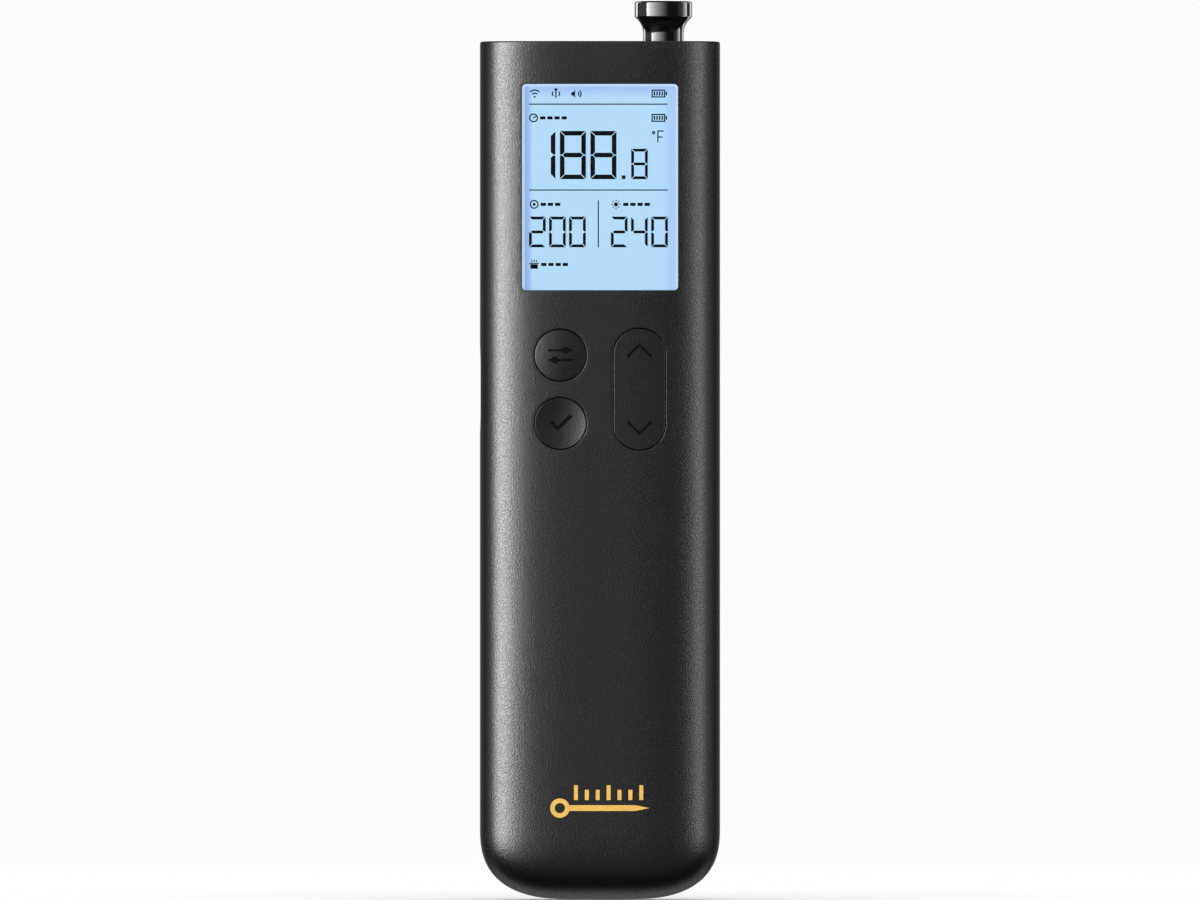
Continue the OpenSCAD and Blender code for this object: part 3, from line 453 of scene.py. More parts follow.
def triangles(loops, points, keep):
    """Delaunay triangles over closed loops and loose points, where their centre passes keep.
    They number the loops' points first and then the loose ones."""
    flat = np.vstack([*loops, points]) if len(points) else np.vstack(loops)
    edges, start = [], 0
    for loop in loops:
        edges += [(start + i, start + (i + 1) % len(loop)) for i in range(len(loop))]
        start += len(loop)
    _, _, faces, origins, _, _ = delaunay_2d_cdt([Vector(p) for p in flat], edges, [], 0, 1e-7)
    if any(not o for o in origins):
        raise ValueError("outlines cross")
    ids = np.array([o[0] for o in origins])
    tri = ids[np.array([f[:3] for f in faces])]
    return tri[keep(flat[tri].mean(axis=1))]


def circle(r, n=96, centre=(0, 0)):
    """Circle of n points, counter-clockwise."""
    a = np.linspace(0, 2 * np.pi, n, endpoint=False)
    return np.column_stack([centre[0] + r * np.cos(a), centre[1] + r * np.sin(a)])


def pill(w, h, n=96, centre=(0, 0)):
    """Slot with round ends, its long side upright or level."""
    r = min(w, h) / 2
    a = np.linspace(0, 2 * np.pi, n, endpoint=False) + np.pi / n
    turned = w > h
    straight = max(w, h) / 2 - r
    x, y = r * np.cos(a), r * np.sin(a) + straight * np.sign(np.sin(a))
    side = 20
    pts = np.column_stack([x, y])
    out = []
    for p, q in zip(pts, np.roll(pts, -1, axis=0)):
        out.append(p)
        if abs(q[1] - p[1]) > straight and straight > 0.5:
            out += [p + (q - p) * k / side for k in range(1, side)]
    out = np.array(out)
    if turned:
        out = np.column_stack([-out[:, 1], out[:, 0]])
    return out + np.array(centre)


def round_rect(w, h, r, centre=(0, 0), corner=10, side=14):
    """Rectangle with round corners of corner points each, and side steps along each side."""
    pts = []
    for k, (sx, sy) in enumerate(((1, 1), (-1, 1), (-1, -1), (1, -1))):
        c = np.array([sx * (w / 2 - r), sy * (h / 2 - r)])
        arc = np.radians(np.linspace(90 * k, 90 * k + 90, corner))
        pts += [c + r * np.array([math.cos(t), math.sin(t)]) for t in arc]
        nxt = ((-1, 1), (-1, -1), (1, -1), (1, 1))[k]
        d = np.array([nxt[0] * (w / 2 - r), nxt[1] * (h / 2 - r)])
        t = math.radians(90 * k + 90)
        a = pts[-1]
        b = d + r * np.array([math.cos(t), math.sin(t)])
        pts += [a + (b - a) * i / side for i in range(1, side)]
    return np.array(pts) + np.array(centre)


def inset_loop(loop, d):
    """A counter-clockwise loop moved inwards by d."""
    before, after = np.roll(loop, 1, axis=0), np.roll(loop, -1, axis=0)
    e1, e2 = loop - before, after - loop
    n1 = np.column_stack([-e1[:, 1], e1[:, 0]]) / np.linalg.norm(e1, axis=1)[:, None]
    n2 = np.column_stack([-e2[:, 1], e2[:, 0]]) / np.linalg.norm(e2, axis=1)[:, None]
    m = n1 + n2
    m /= np.maximum((m * m).sum(1), 0.6)[:, None]
    return loop + 2 * d * m


def dense(loop, step):
    """The loop with its long sides split to about step."""
    out = []
    for a, b in zip(loop, np.roll(loop, -1, axis=0)):
        k = max(1, int(np.linalg.norm(b - a) / step))
        out += [a + (b - a) * i / k for i in range(k)]
    return np.array(out)


# ---------- Housing ----------

COLUMNS = 176
FINE = np.linspace(0, 2 * np.pi, 80001)
SIDE_TURN = {"front": 1.5 * np.pi, "left": 1.0 * np.pi, "back": 0.5 * np.pi}


def signed_root(v):
    """Turns a circle's sine or cosine into that of the rounded outline."""
    return np.sign(v) * np.abs(v) ** (2 / POWER)


def section(t, a, b):
    """Level cut of half width a and half depth b, at the angles t."""
    return a * signed_root(np.cos(t)), b * signed_root(np.sin(t))


fine_x, fine_y = section(FINE, HALF_W, HALF_D)
# Distance along the outline, and the angles of the grid's evenly spaced columns
ARC = np.concatenate([[0], np.cumsum(np.hypot(np.diff(fine_x), np.diff(fine_y)))])
turn = np.interp(np.arange(COLUMNS) * ARC[-1] / COLUMNS, ARC, FINE)
for quarter in range(4):
    turn[quarter * COLUMNS // 4] = quarter * np.pi / 2


def level(z, inset):
    """Half width and half depth of the housing's form at height z."""
    v = np.clip((BOTTOM_H - z) / (BOTTOM_H - inset), 0, 1)
    s = (1 - v ** BOTTOM_N) ** (1 / BOTTOM_N)
    return BASE_W + (HALF_W - inset - BASE_W) * s, BASE_D + (HALF_D - inset - BASE_D) * s


def skin_y(x, z, inset):
    """Depth of the form's front at x, z, as a positive distance from the middle."""
    a, b = level(z, inset)
    return b * (1 - np.clip(np.abs(x) / a, 0, 1) ** POWER) ** (1 / POWER)


def skin_x(y, z, inset):
    """The same for the form's left and right sides, at y, z."""
    a, b = level(z, inset)
    return a * (1 - np.clip(np.abs(y) / b, 0, 1) ** POWER) ** (1 / POWER)


class Hole:
    """An opening in one side of the housing. outline(grow) gives its loop in that side's own
    level axis and z; floor is the depth from the middle where a blind recess ends."""

    def __init__(self, side, outline, fillet, floor=None):
        self.side, self.outline, self.fillet, self.floor = side, outline, fillet, floor

    def on(self, loop, inset, sink=0.0, depth=None):
        """The loop laid on the form's skin, sunk by sink, or at a fixed depth."""
        p, z = loop[:, 0], loop[:, 1]
        if self.side == "left":
            d = skin_x(p, z, inset) - sink if depth is None else np.full(len(p), depth)
            return np.column_stack([-d, p, z])
        d = skin_y(p, z, inset) - sink if depth is None else np.full(len(p), depth)
        return np.column_stack([p, d * (1 if self.side == "back" else -1), z])

    def flat(self, loop, inset):
        """The loop unrolled: distance along the section's outline from the side's middle, and z."""
        p = loop[:, 0]
        half = (HALF_D if self.side == "left" else HALF_W) - inset
        middle_t = SIDE_TURN[self.side]
        sign = {"front": 1, "left": -1, "back": -1}[self.side]
        t = middle_t + sign * np.sign(p) * np.arcsin(np.clip(np.abs(p) / half, 0, 1) ** 2)
        start = np.interp(middle_t, FINE, ARC)
        return np.column_stack([np.interp(t, FINE, ARC) - start, loop[:, 1]])


def patch(mesh, cols, rows, zs, inset, holes, grid):
    """Fills the block of the grid between columns and rows, round its holes. Delaunay
    triangles are made on the unrolled side and laid back on the skin."""
    start = np.interp(SIDE_TURN[holes[0].side], FINE, ARC)

    def spot(c, r):
        return [c * ARC[-1] / COLUMNS - start, zs[r]]

    border = [(c, rows[0]) for c in cols] + [(cols[-1], r) for r in rows[1:]]
    border += [(c, rows[-1]) for c in cols[-2::-1]] + [(cols[0], r) for r in rows[-2:0:-1]]
    outer = np.array([spot(c, r) for c, r in border])
    rims, rim_points = [], []
    inner = [(c, r) for c in cols[1:-1] for r in rows[1:-1]]
    loose = np.array([spot(c, r) for c, r in inner])
    loose_points = np.array([grid[r][c % COLUMNS] for c, r in inner])
    for h in holes:
        grow = h.fillet if inset == 0 else 0
        rim, guard = h.outline(grow), h.outline(grow + 0.6)[::2]
        rims.append(h.flat(rim, inset))
        rim_points.append(h.on(rim, inset))
        loose = np.vstack([loose, h.flat(guard, inset)])
        loose_points = np.vstack([loose_points, h.on(guard, inset)])
    ok = np.ones(len(loose), bool)
    for rim in rims:
        ok &= ~inside(rim, loose) & ~near(rim, loose, 0.3)
    loose, loose_points = loose[ok], loose_points[ok]

    def keep(centres):
        return ~np.any([inside(rim, centres) for rim in rims], axis=0)

    tri = triangles([outer, *rims], loose, keep)
    points = [np.array([grid[r][c % COLUMNS] for c, r in border]), *rim_points, loose_points]
    ids = mesh.add(np.vstack(points))
    mesh.faces += [tuple(ids[k] for k in t) for t in tri]


def openings():
    """Every opening and recess in the shells."""
    at_set, at_ok, at_rocker = ((c[0], c[2]) for c in (SET_C, OK_C, ROCKER_C))
    holes = [
        Hole("front", lambda g: round_rect(WINDOW_W + 2 * g, WINDOW_H + 2 * g, WINDOW_R + g,
                                           (0, WINDOW_Z)), fillet=0.1),
        Hole("front", lambda g: circle(KEY_R + g, 96, at_set), fillet=0.06),
        Hole("front", lambda g: circle(KEY_R + g, 96, at_ok), fillet=0.06),
        Hole("front", lambda g: pill(ROCKER_W + 2 * g, ROCKER_H + 2 * g, 96, at_rocker),
             fillet=0.06),
        Hole("left", lambda g: pill(SIDE_W + 2 * g, SIDE_H + 2 * g, 96, (0, POWER_C[2])),
             fillet=0.16),
        Hole("back", lambda g: round_rect(PAD_W + 2 * g, PAD_H + 2 * g, PAD_R + g, (0, PAD_Z),
                                          16, 24), fillet=0.2, floor=HALF_D - PAD_DEPTH),
    ]
    for side in (-1, 1):
        at = (SCREW_X * side, SCREW_Z)
        holes.append(Hole("back", lambda g, at=at: circle(SCREW_R + g, 48, at), fillet=0.16,
                          floor=SCREW_SEAT_Y))
    ring = [(SOUND_RING * math.cos(math.pi * k / 3), SOUND_RING * math.sin(math.pi * k / 3))
            for k in range(6)]
    for x, z in (*ring, (0, 0)):
        at = (x + SOUND_X, z + SOUND_Z)
        holes.append(Hole("back", lambda g, at=at: circle(SOUND_R + g, 24, at), fillet=0.12))
    return holes


def flat_ring(x, y, z):
    """The points x, y at height z."""
    return np.column_stack([x, y, np.full(len(x), z)])


def port_ring(w, h, z):
    """A level slot with round ends, with its points at the skin's own columns."""
    x, y = section(turn, 5.6, 2.6)
    angle = np.arctan2(y, x)
    r = h / 2
    c, s = np.cos(angle), np.sin(angle)
    flat_reach = r / np.maximum(np.abs(s), 1e-9)
    centre = w / 2 - r
    round_reach = centre * np.abs(c) + np.sqrt(np.maximum(r * r - (centre * s) ** 2, 0))
    reach = np.where(flat_reach * np.abs(c) <= centre, flat_reach, round_reach)
    return flat_ring(reach * c, reach * s, z)


def skin(mesh, inset, zs, holes):
    """One skin of the form, open at both ends: a grid with blocks cut out round the holes
    and filled by patch()."""
    grid = [flat_ring(*section(turn, *level(z, inset)), z) for z in zs]
    taken = set()
    # How far each block reaches from its side's middle, and its lowest and highest row
    blocks = {"front": (15.6, 72, 148.2), "left": (6.6, 77, 101.5), "back": (16.3, 9, 142)}
    for side, (reach, z_low, z_high) in blocks.items():
        centre = round(np.interp(SIDE_TURN[side], FINE, ARC) / ARC[-1] * COLUMNS)
        half = int(reach / ARC[-1] * COLUMNS) + 1
        cols = list(range(centre - half, centre + half + 1))
        rows = [k for k, z in enumerate(zs) if z_low <= z <= z_high]
        patch(mesh, cols, rows, zs, inset, [h for h in holes if h.side == side], grid)
        taken |= {(c % COLUMNS, r) for c in cols[:-1] for r in rows[:-1]}
    ids = [mesh.add(ring) for ring in grid]
    for r in range(len(zs) - 1):
        for c in range(COLUMNS):
            if (c, r) not in taken:
                d = (c + 1) % COLUMNS
                mesh.faces.append((ids[r][c], ids[r][d], ids[r + 1][d], ids[r + 1][c]))
    return grid


def housing():
    """Both shells as one hollow form, with rounded edges on every opening."""
    mesh = Mesh()
    rim_r, port_r, port_depth = 0.3, 0.2, 0.25
    holes = openings()
    phi = np.radians(np.linspace(1.2, 90, 36))
    body_rows = list(np.arange(BOTTOM_H + 2.5, HEIGHT - 1.6, 2.5)) + [HEIGHT - rim_r]
    grids = {}
    for inset in (0, WALL):
        low = inset + (BOTTOM_H - inset) * (1 - np.cos(phi) ** (2 / BOTTOM_N))
        cut = [h for h in holes if inset == 0 or h.floor is None]
        grids[inset] = skin(mesh, inset, list(low) + body_rows, cut)

    for h in holes:
        rings = []
        for a in np.radians(np.linspace(0, 90, 6)):
            loop = h.outline(h.fillet * (1 - math.sin(a)))
            rings.append(h.on(loop, 0, h.fillet * (1 - math.cos(a))))
        end = h.outline(0)
        rings.append(h.on(end, WALL) if h.floor is None else h.on(end, 0, depth=h.floor))
        ids = mesh.loft(rings, caps=False)
        if h.floor is not None:
            mesh.cap(ids[-1])

    # Top rim: a small radius, the flat end of the wall and down to the inner skin
    rings = []
    for a in np.radians(np.linspace(0, 90, 5)):
        i = rim_r * (1 - math.cos(a))
        z = HEIGHT - rim_r * (1 - math.sin(a))
        rings.append(flat_ring(*section(turn, HALF_W - i, HALF_D - i), z))
    rings.append(flat_ring(*section(turn, HALF_W - WALL, HALF_D - WALL), HEIGHT))
    rings.append(grids[WALL][-1])
    mesh.loft(rings, caps=False)

    # Port mouth in the bottom end
    rings = [grids[0][0]]
    for a in np.radians(np.linspace(0, 90, 5)):
        grow = port_r * (1 - math.sin(a))
        z = port_depth * (1 - math.cos(a))
        rings.append(port_ring(PORT_W + 2 * grow, PORT_H + 2 * grow, z))
    rings.append(port_ring(PORT_W, PORT_H, WALL))
    rings.append(grids[WALL][0])
    mesh.loft(rings, caps=False)
    return mesh


shell = housing()
shell.piece("housing_front", "shell", "housing", "front_shell", cut=(SPLIT_Y - SPLIT_GAP, -1))
shell.piece("housing_back", "shell", "housing", "rear_shell", cut=(SPLIT_Y + SPLIT_GAP, 1))


# ---------- Keys ----------

def sagitta(r, d):
    """How far a ball of radius r falls away at d from its top."""
    return r - np.sqrt(np.maximum(r * r - d * d, 0))


ENGRAVE = 0.15                  # depth of the marks in the keys
BAND = 0.06                     # width of the band between a key's rounded rim and its face
LEAN = 0.035                    # how far a mark's walls lean in
BARE = 0.12                     # strip round a mark without loose points
FLANGE_T = 0.8


def key(outline, face, edge, back, glyphs, lay, step=0.4, engrave=ENGRAVE, more=()):
    """A keycap. outline(grow) is its loop about its centre, face(p, z) the depth of its face,
    positive outwards, and lay turns (p, depth, z) into x, y, z. edge is the radius of its
    rim, and glyphs are the loops engraved in it. more lists further loops and depths behind
    the skirt, such as a flange and stem."""
    mesh = Mesh()
    rim, band = outline(-edge), outline(-edge - BAND)
    grooves = [(g, inset_loop(g, LEAN)) for g in glyphs]
    low, high = rim.min(0), rim.max(0)
    gx, gz = np.meshgrid(np.arange(low[0], high[0], step), np.arange(low[1], high[1], step))
    loose = np.column_stack([gx.ravel(), gz.ravel()])
    ok = inside(band, loose) & ~near(band, loose, step * 0.5)
    sunk = np.zeros(len(loose), bool)
    for outer, inner in grooves:
        ok &= ~near(outer, loose, BARE)
        sunk |= inside(inner, loose)
    loose, sunk = loose[ok], sunk[ok]

    def keep(centres):
        good = inside(band, centres)
        for outer, inner in grooves:
            good &= ~(inside(outer, centres) & ~inside(inner, centres))
        return good

    loops = [band] + [loop for pair in grooves for loop in pair]
    depth = [np.zeros(len(band))]
    for outer, inner in grooves:
        depth += [np.zeros(len(outer)), np.full(len(inner), engrave)]
    depth.append(np.where(sunk, engrave, 0))
    flat = np.vstack([*loops, loose])
    height = face(flat[:, 0], flat[:, 1]) - np.concatenate(depth)
    ids = mesh.add(lay(flat[:, 0], height, flat[:, 1]))
    mesh.faces += [tuple(ids[k] for k in t) for t in triangles(loops, loose, keep)]
    mesh.bridge(mesh.add(lay(rim[:, 0], face(rim[:, 0], rim[:, 1]), rim[:, 1])), ids[:len(band)])
    start = len(band)
    for outer, inner in grooves:
        a, b = ids[start:start + len(outer)], ids[start + len(outer):start + 2 * len(outer)]
        mesh.bridge(a, b)
        start += 2 * len(outer)
    rings = []
    for a in np.radians(np.linspace(0, 90, 6)):
        loop = outline(-edge + edge * math.sin(a))
        y = face(loop[:, 0], loop[:, 1]) - edge * (1 - math.cos(a))
        rings.append(lay(loop[:, 0], y, loop[:, 1]))
    for loop, d in [(outline(0), back), *more]:
        rings.append(lay(loop[:, 0], np.full(len(loop), d), loop[:, 1]))
    ids = mesh.loft(rings, caps=False)
    mesh.cap(ids[-1])
    return mesh


def dark_mark_layer(name, body, glyphs, face, lay):
    """Matte black layer a little below a keycap's face, inside its engraved mark, which makes the
    mark dark.
    """
    gap, thick, under = 0.05, 0.06, 0.01
    mesh = Mesh()
    for glyph in glyphs:
        loop = inset_loop(glyph, gap)
        height = face(loop[:, 0], loop[:, 1])
        depths = (ENGRAVE - thick, ENGRAVE + under)
        ids = mesh.loft([lay(loop[:, 0], height - d, loop[:, 1]) for d in depths], caps=False)
        mesh.faces += [tuple(ids[0]), tuple(ids[1])]
    mesh.piece(name, "rubber_black", body)


def front_ring(loop, y):
    """The loop upright at depth y."""
    return np.column_stack([loop[:, 0], np.full(len(loop), y), loop[:, 1]])


def front_lay(centre):
    """Lays a front key's points (p, depth, z) round its centre."""
    return lambda p, d, z: np.column_stack([p + centre[0], -d, z + centre[2]])


def left_lay(centre):
    """Lays the points of a key in the left side."""
    return lambda p, d, z: np.column_stack([-d, p, z + centre[2]])


def bar_with_knob(x0, z0, half, stroke, knob):
    """A slider: a level bar, stroke thick each way, with a round knob at x0."""
    x = np.linspace(-half, half, 41)
    h = np.maximum(stroke, np.sqrt(np.maximum(knob ** 2 - (x - x0) ** 2, 0)))
    return np.vstack([np.column_stack([x, z0 - h]), np.column_stack([x[::-1], z0 + h[::-1]])])


def arc_band(r, half, start, end, n=28):
    """Part of a ring of radius r, half thick each way, between two angles."""
    a = np.radians(np.linspace(start, end, n))
    out = np.column_stack([np.cos(a), np.sin(a)])
    return np.vstack([out * (r + half), out[::-1] * (r - half)])


def round_key(name, node, body, rise, glyphs):
    """A round keycap, domed by rise, or dished where rise is below 0."""
    low, high = box_mm(node)
    centre = (low + high) / 2
    r = KEY_R - GAP
    ball = (r * r + rise * rise) / (2 * abs(rise))
    top = -low[1] if rise > 0 else -low[1] - 0.02

    def face(p, z):
        d = sagitta(ball, np.hypot(p, z))
        return top - d if rise > 0 else top + rise + d

    flange_r, stem_r, flange_in = 5.4, 1.5, 2.55
    flange, stem = circle(flange_r), circle(stem_r)
    seat = HALF_D - flange_in
    flange_back = seat - FLANGE_T
    more = [(flange, seat), (flange, flange_back), (stem, flange_back), (stem, -high[1])]
    mesh = key(lambda g: circle(r + g), face, 0.08, seat, glyphs, front_lay(centre), step=0.25,
               more=more)
    mesh.piece(name, "keys", body, node, sharp=30)
    dark_mark_layer(name + "_mark", body, glyphs, face, front_lay(centre))


sliders = [bar_with_knob(x, z, 2.1, 0.2, 0.62) for x, z in ((-0.95, -0.85), (0.95, 0.85))]
tick = np.array([[-1.9, 0.15], [-0.5, -1.35], [2.1, 1.15], [1.65, 1.6], [-0.5, -0.5], [-1.45, 0.6]])
round_key("key_set", "set_key", "set_button", 0.42, [dense(bar, 0.3) for bar in sliders])
round_key("key_ok", "ok_key", "ok_button", -0.5, [dense(tick, 0.3)])


def add_lug(mesh, x, front, back):
    """Upright plate behind the rocker key, bored for its pin."""
    pin_low, pin_high = box_mm("rocker_pin")
    pin = (pin_low + pin_high) / 2
    clearance, half_t = 0.05, 0.6
    bore = circle((pin_high[2] - pin_low[2]) / 2 + clearance, 48, pin[1:])
    edge = round_rect(back - front, 2.8, 0.2, ((front + back) / 2, pin[2]), 5, 6)
    flat = np.vstack([edge, bore])
    tri = triangles([edge, bore], [], lambda c: inside(edge, c) & ~inside(bore, c))
    sides = []
    for at in (x - half_t, x + half_t):
        ids = mesh.add(np.column_stack([np.full(len(flat), at), flat]))
        mesh.faces += [tuple(ids[k] for k in t) for t in tri]
        sides.append(ids)
    for part in (slice(0, len(edge)), slice(len(edge), None)):
        mesh.bridge(sides[0][part], sides[1][part])


def rocker():
    """Long key for up and down: two pads for its plungers and two lugs on its pin."""
    low, high = box_mm("rocker_key")
    w, h = high[0] - low[0], high[2] - low[2]
    chevron = np.array([[-2.25, -1.0], [-1.95, -1.3], [0, 0.65], [1.95, -1.3], [2.25, -1.0],
                        [0, 1.25]])
    mark_z, pad_z, pad_r, lug_x, skirt = 6.8, 6, 1.5, 2.2, 3.3
    up, down = chevron + [0, mark_z], (chevron * [1, -1])[::-1] - [0, mark_z]
    glyphs = [dense(up, 0.3), dense(down, 0.3)]

    def face(p, z):
        return skin_y(p + ROCKER_C[0], HEIGHT / 2, 0.1)

    back = HALF_D - skirt
    root = -back - 0.2
    mesh = key(lambda g: pill(w + 2 * g, h + 2 * g), face, 0.08, back, glyphs,
               front_lay(ROCKER_C), engrave=0.16)
    for side in (-1, 1):
        pad = circle(pad_r, 32, (ROCKER_C[0], ROCKER_C[2] + pad_z * side))
        mesh.loft([front_ring(pad, y) for y in (root, high[1] - 0.15)])
        add_lug(mesh, ROCKER_C[0] + lug_x * side, root, high[1])
    mesh.piece("key_rocker", "keys", "rocker", "rocker_key", sharp=30)
    dark_mark_layer("key_rocker_mark", "rocker", glyphs, face, front_lay(ROCKER_C))


def side_key():
    """Scooped key in the left side, with an on/off mark."""
    low, high = box_mm("power_key")
    top = -low[0]
    scoop_r, scoop_depth = 60.0, 0.15
    flange_rim, flange_in, stem_r, stem_in = 0.8, 2.25, 1.3, 0.7
    ring = arc_band(1.06, 0.14, 125, 415)
    bar = np.array([[-0.14, 0.35], [0.14, 0.35], [0.14, 1.65], [-0.14, 1.65]])
    glyphs = [dense(ring, 0.3), dense(bar, 0.3)]

    def face(p, z):
        return np.minimum(top, top - scoop_depth + sagitta(scoop_r, p))

    w, h = SIDE_W - 2 * GAP - 0.1, SIDE_H - 2 * GAP
    seat = HALF_W - flange_in
    flange = pill(w + 2 * flange_rim, h + 2 * flange_rim)
    mesh = key(lambda g: pill(w + 2 * g, h + 2 * g), face, 0.25, seat, glyphs, left_lay(POWER_C),
               more=[(flange, seat), (flange, seat - FLANGE_T)])
    y, z = circle(stem_r, 32, (0, POWER_C[2])).T
    mesh.loft([np.column_stack([np.full(32, x), y, z]) for x in (-seat + stem_in, high[0])])
    mesh.piece("key_side", "keys", "side_button", "power_key", sharp=30)
    dark_mark_layer("key_side_mark", "side_button", glyphs, face, left_lay(POWER_C))


rocker()
side_key()


# ---------- Window, cap, probe head and small parts ----------

def fillet(r, depth, n=5):
    """Growth and depth steps round an outer edge of radius r that starts at depth."""
    angles = np.radians(np.linspace(0, 90, n))
    return [(-r * (1 - math.sin(a)), depth + r * (1 - math.cos(a))) for a in angles]


def window():
    """Display window with a flange behind the shell."""
    low, high = box_mm("display_window")
    w, h, corner_r = 26.9, 35.7, 0.6
    flange_w, flange_h, flange_r = 29.4, 39, 1.0
    step = high[1] - FLANGE_T
    mesh = Mesh()
    rings = [front_ring(round_rect(w + 2 * g, h + 2 * g, corner_r + g, (0, WINDOW_Z)), d)
             for g, d in (*fillet(0.06, low[1]), (0, step))]
    flange = round_rect(flange_w, flange_h, flange_r, (0, WINDOW_Z))
    rings += [front_ring(flange, step), front_ring(flange, high[1])]
    mesh.loft(rings)
    mesh.piece("window_lens", "window", "housing", "display_window", sharp=25)


def arc_profile(r0, z0, r, start, end, n):
    """Arc of a profile about (r0, z0), between two angles."""
    angles = np.radians(np.linspace(start, end, n))
    return [(r0 + r * math.cos(t), z0 + r * math.sin(t)) for t in angles]


def probe_head():
    """The probe's handle: a waisted neck and a collar. Returns the probe's axis."""
    low, high = box_mm("probe_head")
    cx, cy = (low[:2] + high[:2]) / 2
    head_r = (high[0] - low[0]) / 2
    neck_r, waist_r, blend, edge = 3.58, 3.5, 0.35, 0.42
    waist_z, collar_z = HEIGHT + 1.5, HEIGHT + 4.6
    profile = [(0.05, low[2]), (neck_r - 0.1, low[2]), (neck_r, low[2] + 0.1)]
    profile += arc_profile(neck_r + waist_r, waist_z, waist_r, 180, 136, 18)
    profile += arc_profile(head_r - blend, collar_z, blend, -50, 0, 6)
    profile += arc_profile(head_r - edge, high[2] - edge, edge, 0, 90, 10)
    profile += [(head_r * 0.5, high[2]), (0.05, high[2])]
    mesh = Mesh()
    mesh.loft([flat_ring(*circle(r, centre=(cx, cy)).T, z) for r, z in profile])
    mesh.piece("probe_handle", "ceramic", "probe", "probe_head", sharp=40)
    return cx, cy


PROBE = probe_head()


def top_cap():
    """End plate: softened outer edge, and a mouth for the bush with a small radius."""
    low, high = box_mm("top_cap")
    mesh = Mesh()
    hole_r = 5.2
    base_x, base_y = section(turn, high[0], high[1])
    angle = np.arctan2(base_y - PROBE[1], base_x - PROBE[0])
    rings = []
    for g, d in [(0, high[2] - low[2]), *reversed(fillet(0.2, 0))]:
        rings.append(flat_ring(*section(turn, high[0] + g, high[1] + g), high[2] - d))
    for g, d in fillet(0.15, 0):
        x, y = PROBE[0] + (hole_r - g) * np.cos(angle), PROBE[1] + (hole_r - g) * np.sin(angle)
        rings.append(flat_ring(x, y, high[2] - d))
    rings.append(flat_ring(x, y, low[2]))
    mesh.loft(rings, closed=True)
    mesh.piece("end_plate", "cap", "housing", "top_cap", sharp=28)


def soft_pad():
    """Soft pad on the back: rounded edge and two shallow grip grooves near its ends."""
    low, high = box_mm("back_pad")
    w, h = high[0] - low[0], high[2] - low[2]
    mid_z = (low[2] + high[2]) / 2
    corner_r, rim_in, cell = 5.9, 0.3, 1.0
    groove_w, groove_h, groove_z = 12, 1, 43
    mesh = Mesh()

    def outline(g):
        return round_rect(w + 2 * g, h + 2 * g, corner_r + g, (0, mid_z), 16, 24)

    rim = outline(-rim_in)
    steps = [(0, low[1])] + [(g, high[1] - d) for g, d in reversed(fillet(0.22, 0))]
    rings = [front_ring(outline(g), y) for g, y in steps] + [front_ring(rim, high[1])]
    mesh.cap(mesh.loft(rings, caps=False)[0])
    guards = []
    for side in (-1, 1):
        at = (0, mid_z + side * groove_z)
        loops = [(pill(groove_w + 2 * g, groove_h + 2 * g, 40, at), high[1] - d)
                 for g, d in ((0.5, 0), (0.15, 0), (0.06, 0.06), (0.02, 0.2))]
        guards.append(loops[0][0])
        ids = mesh.loft([front_ring(loop, y) for loop, y in loops], caps=False)
        mesh.faces.append(tuple(ids[-1]))

    # Flat face between the rim and the grooves
    across, up = np.meshgrid(np.arange(-11, 11.1, cell), mid_z + np.arange(-48, 48.1, cell))
    loose = np.column_stack([across.ravel(), up.ravel()])
    clear_of = inside(rim, loose) & ~near(rim, loose, 0.4)
    for guard in guards:
        clear_of &= ~inside(guard, loose) & ~near(guard, loose, 0.4)
    loose = loose[clear_of]

    def keep(c):
        return inside(rim, c) & ~inside(guards[0], c) & ~inside(guards[1], c)

    ids = mesh.add(front_ring(np.vstack([rim, *guards, loose]), high[1]))
    mesh.faces += [tuple(ids[k] for k in t) for t in triangles([rim, *guards], loose, keep)]
    mesh.piece("grip_pad", "back_pad", "housing", "back_pad", sharp=40)


def port_pads():
    """Gold contact pads, let into both faces of the port's tongue."""
    low, _ = box_mm("usb_tongue")
    pitch, count, pad_w, pad_h, pad_r, pad_z = 0.5, 12, 0.24, 3.0, 0.06, 2.0
    inner_y, outer_y = 0.33, 0.37
    mesh = Mesh()
    for side in (-1, 1):
        for k in range(count):
            at = (pitch * (k - (count - 1) / 2), low[2] + pad_z)
            pad = round_rect(pad_w, pad_h, pad_r, at, 4, 2)
            mesh.loft([front_ring(pad, side * y) for y in (inner_y, outer_y)])
    mesh.piece("port_pads", "gold_contact", "housing")


window()
top_cap()
soft_pad()
port_pads()

# ---------- Stage ----------

scene = bpy.context.scene
scene.view_settings.view_transform = "Standard"
scene.view_settings.look = "None"
PAPER = 0.97                        # the ground and backdrop, to the camera
ROOM_LOW, ROOM = 0.03, 1.7          # what matt surfaces get from below and above
GLOSS_LOW, GLOSS_ROOM = 0.018, 0.045  # what glossy ones mirror from below and all round
SIDE_GLOW = 0.38                    # walls to the left and right
WALL_GLOW = 0.62                    # wall behind
PAPER_BELOW = 1.95                  # paper behind and under the object
FRONT_BELOW = 0.13                  # table in front of it


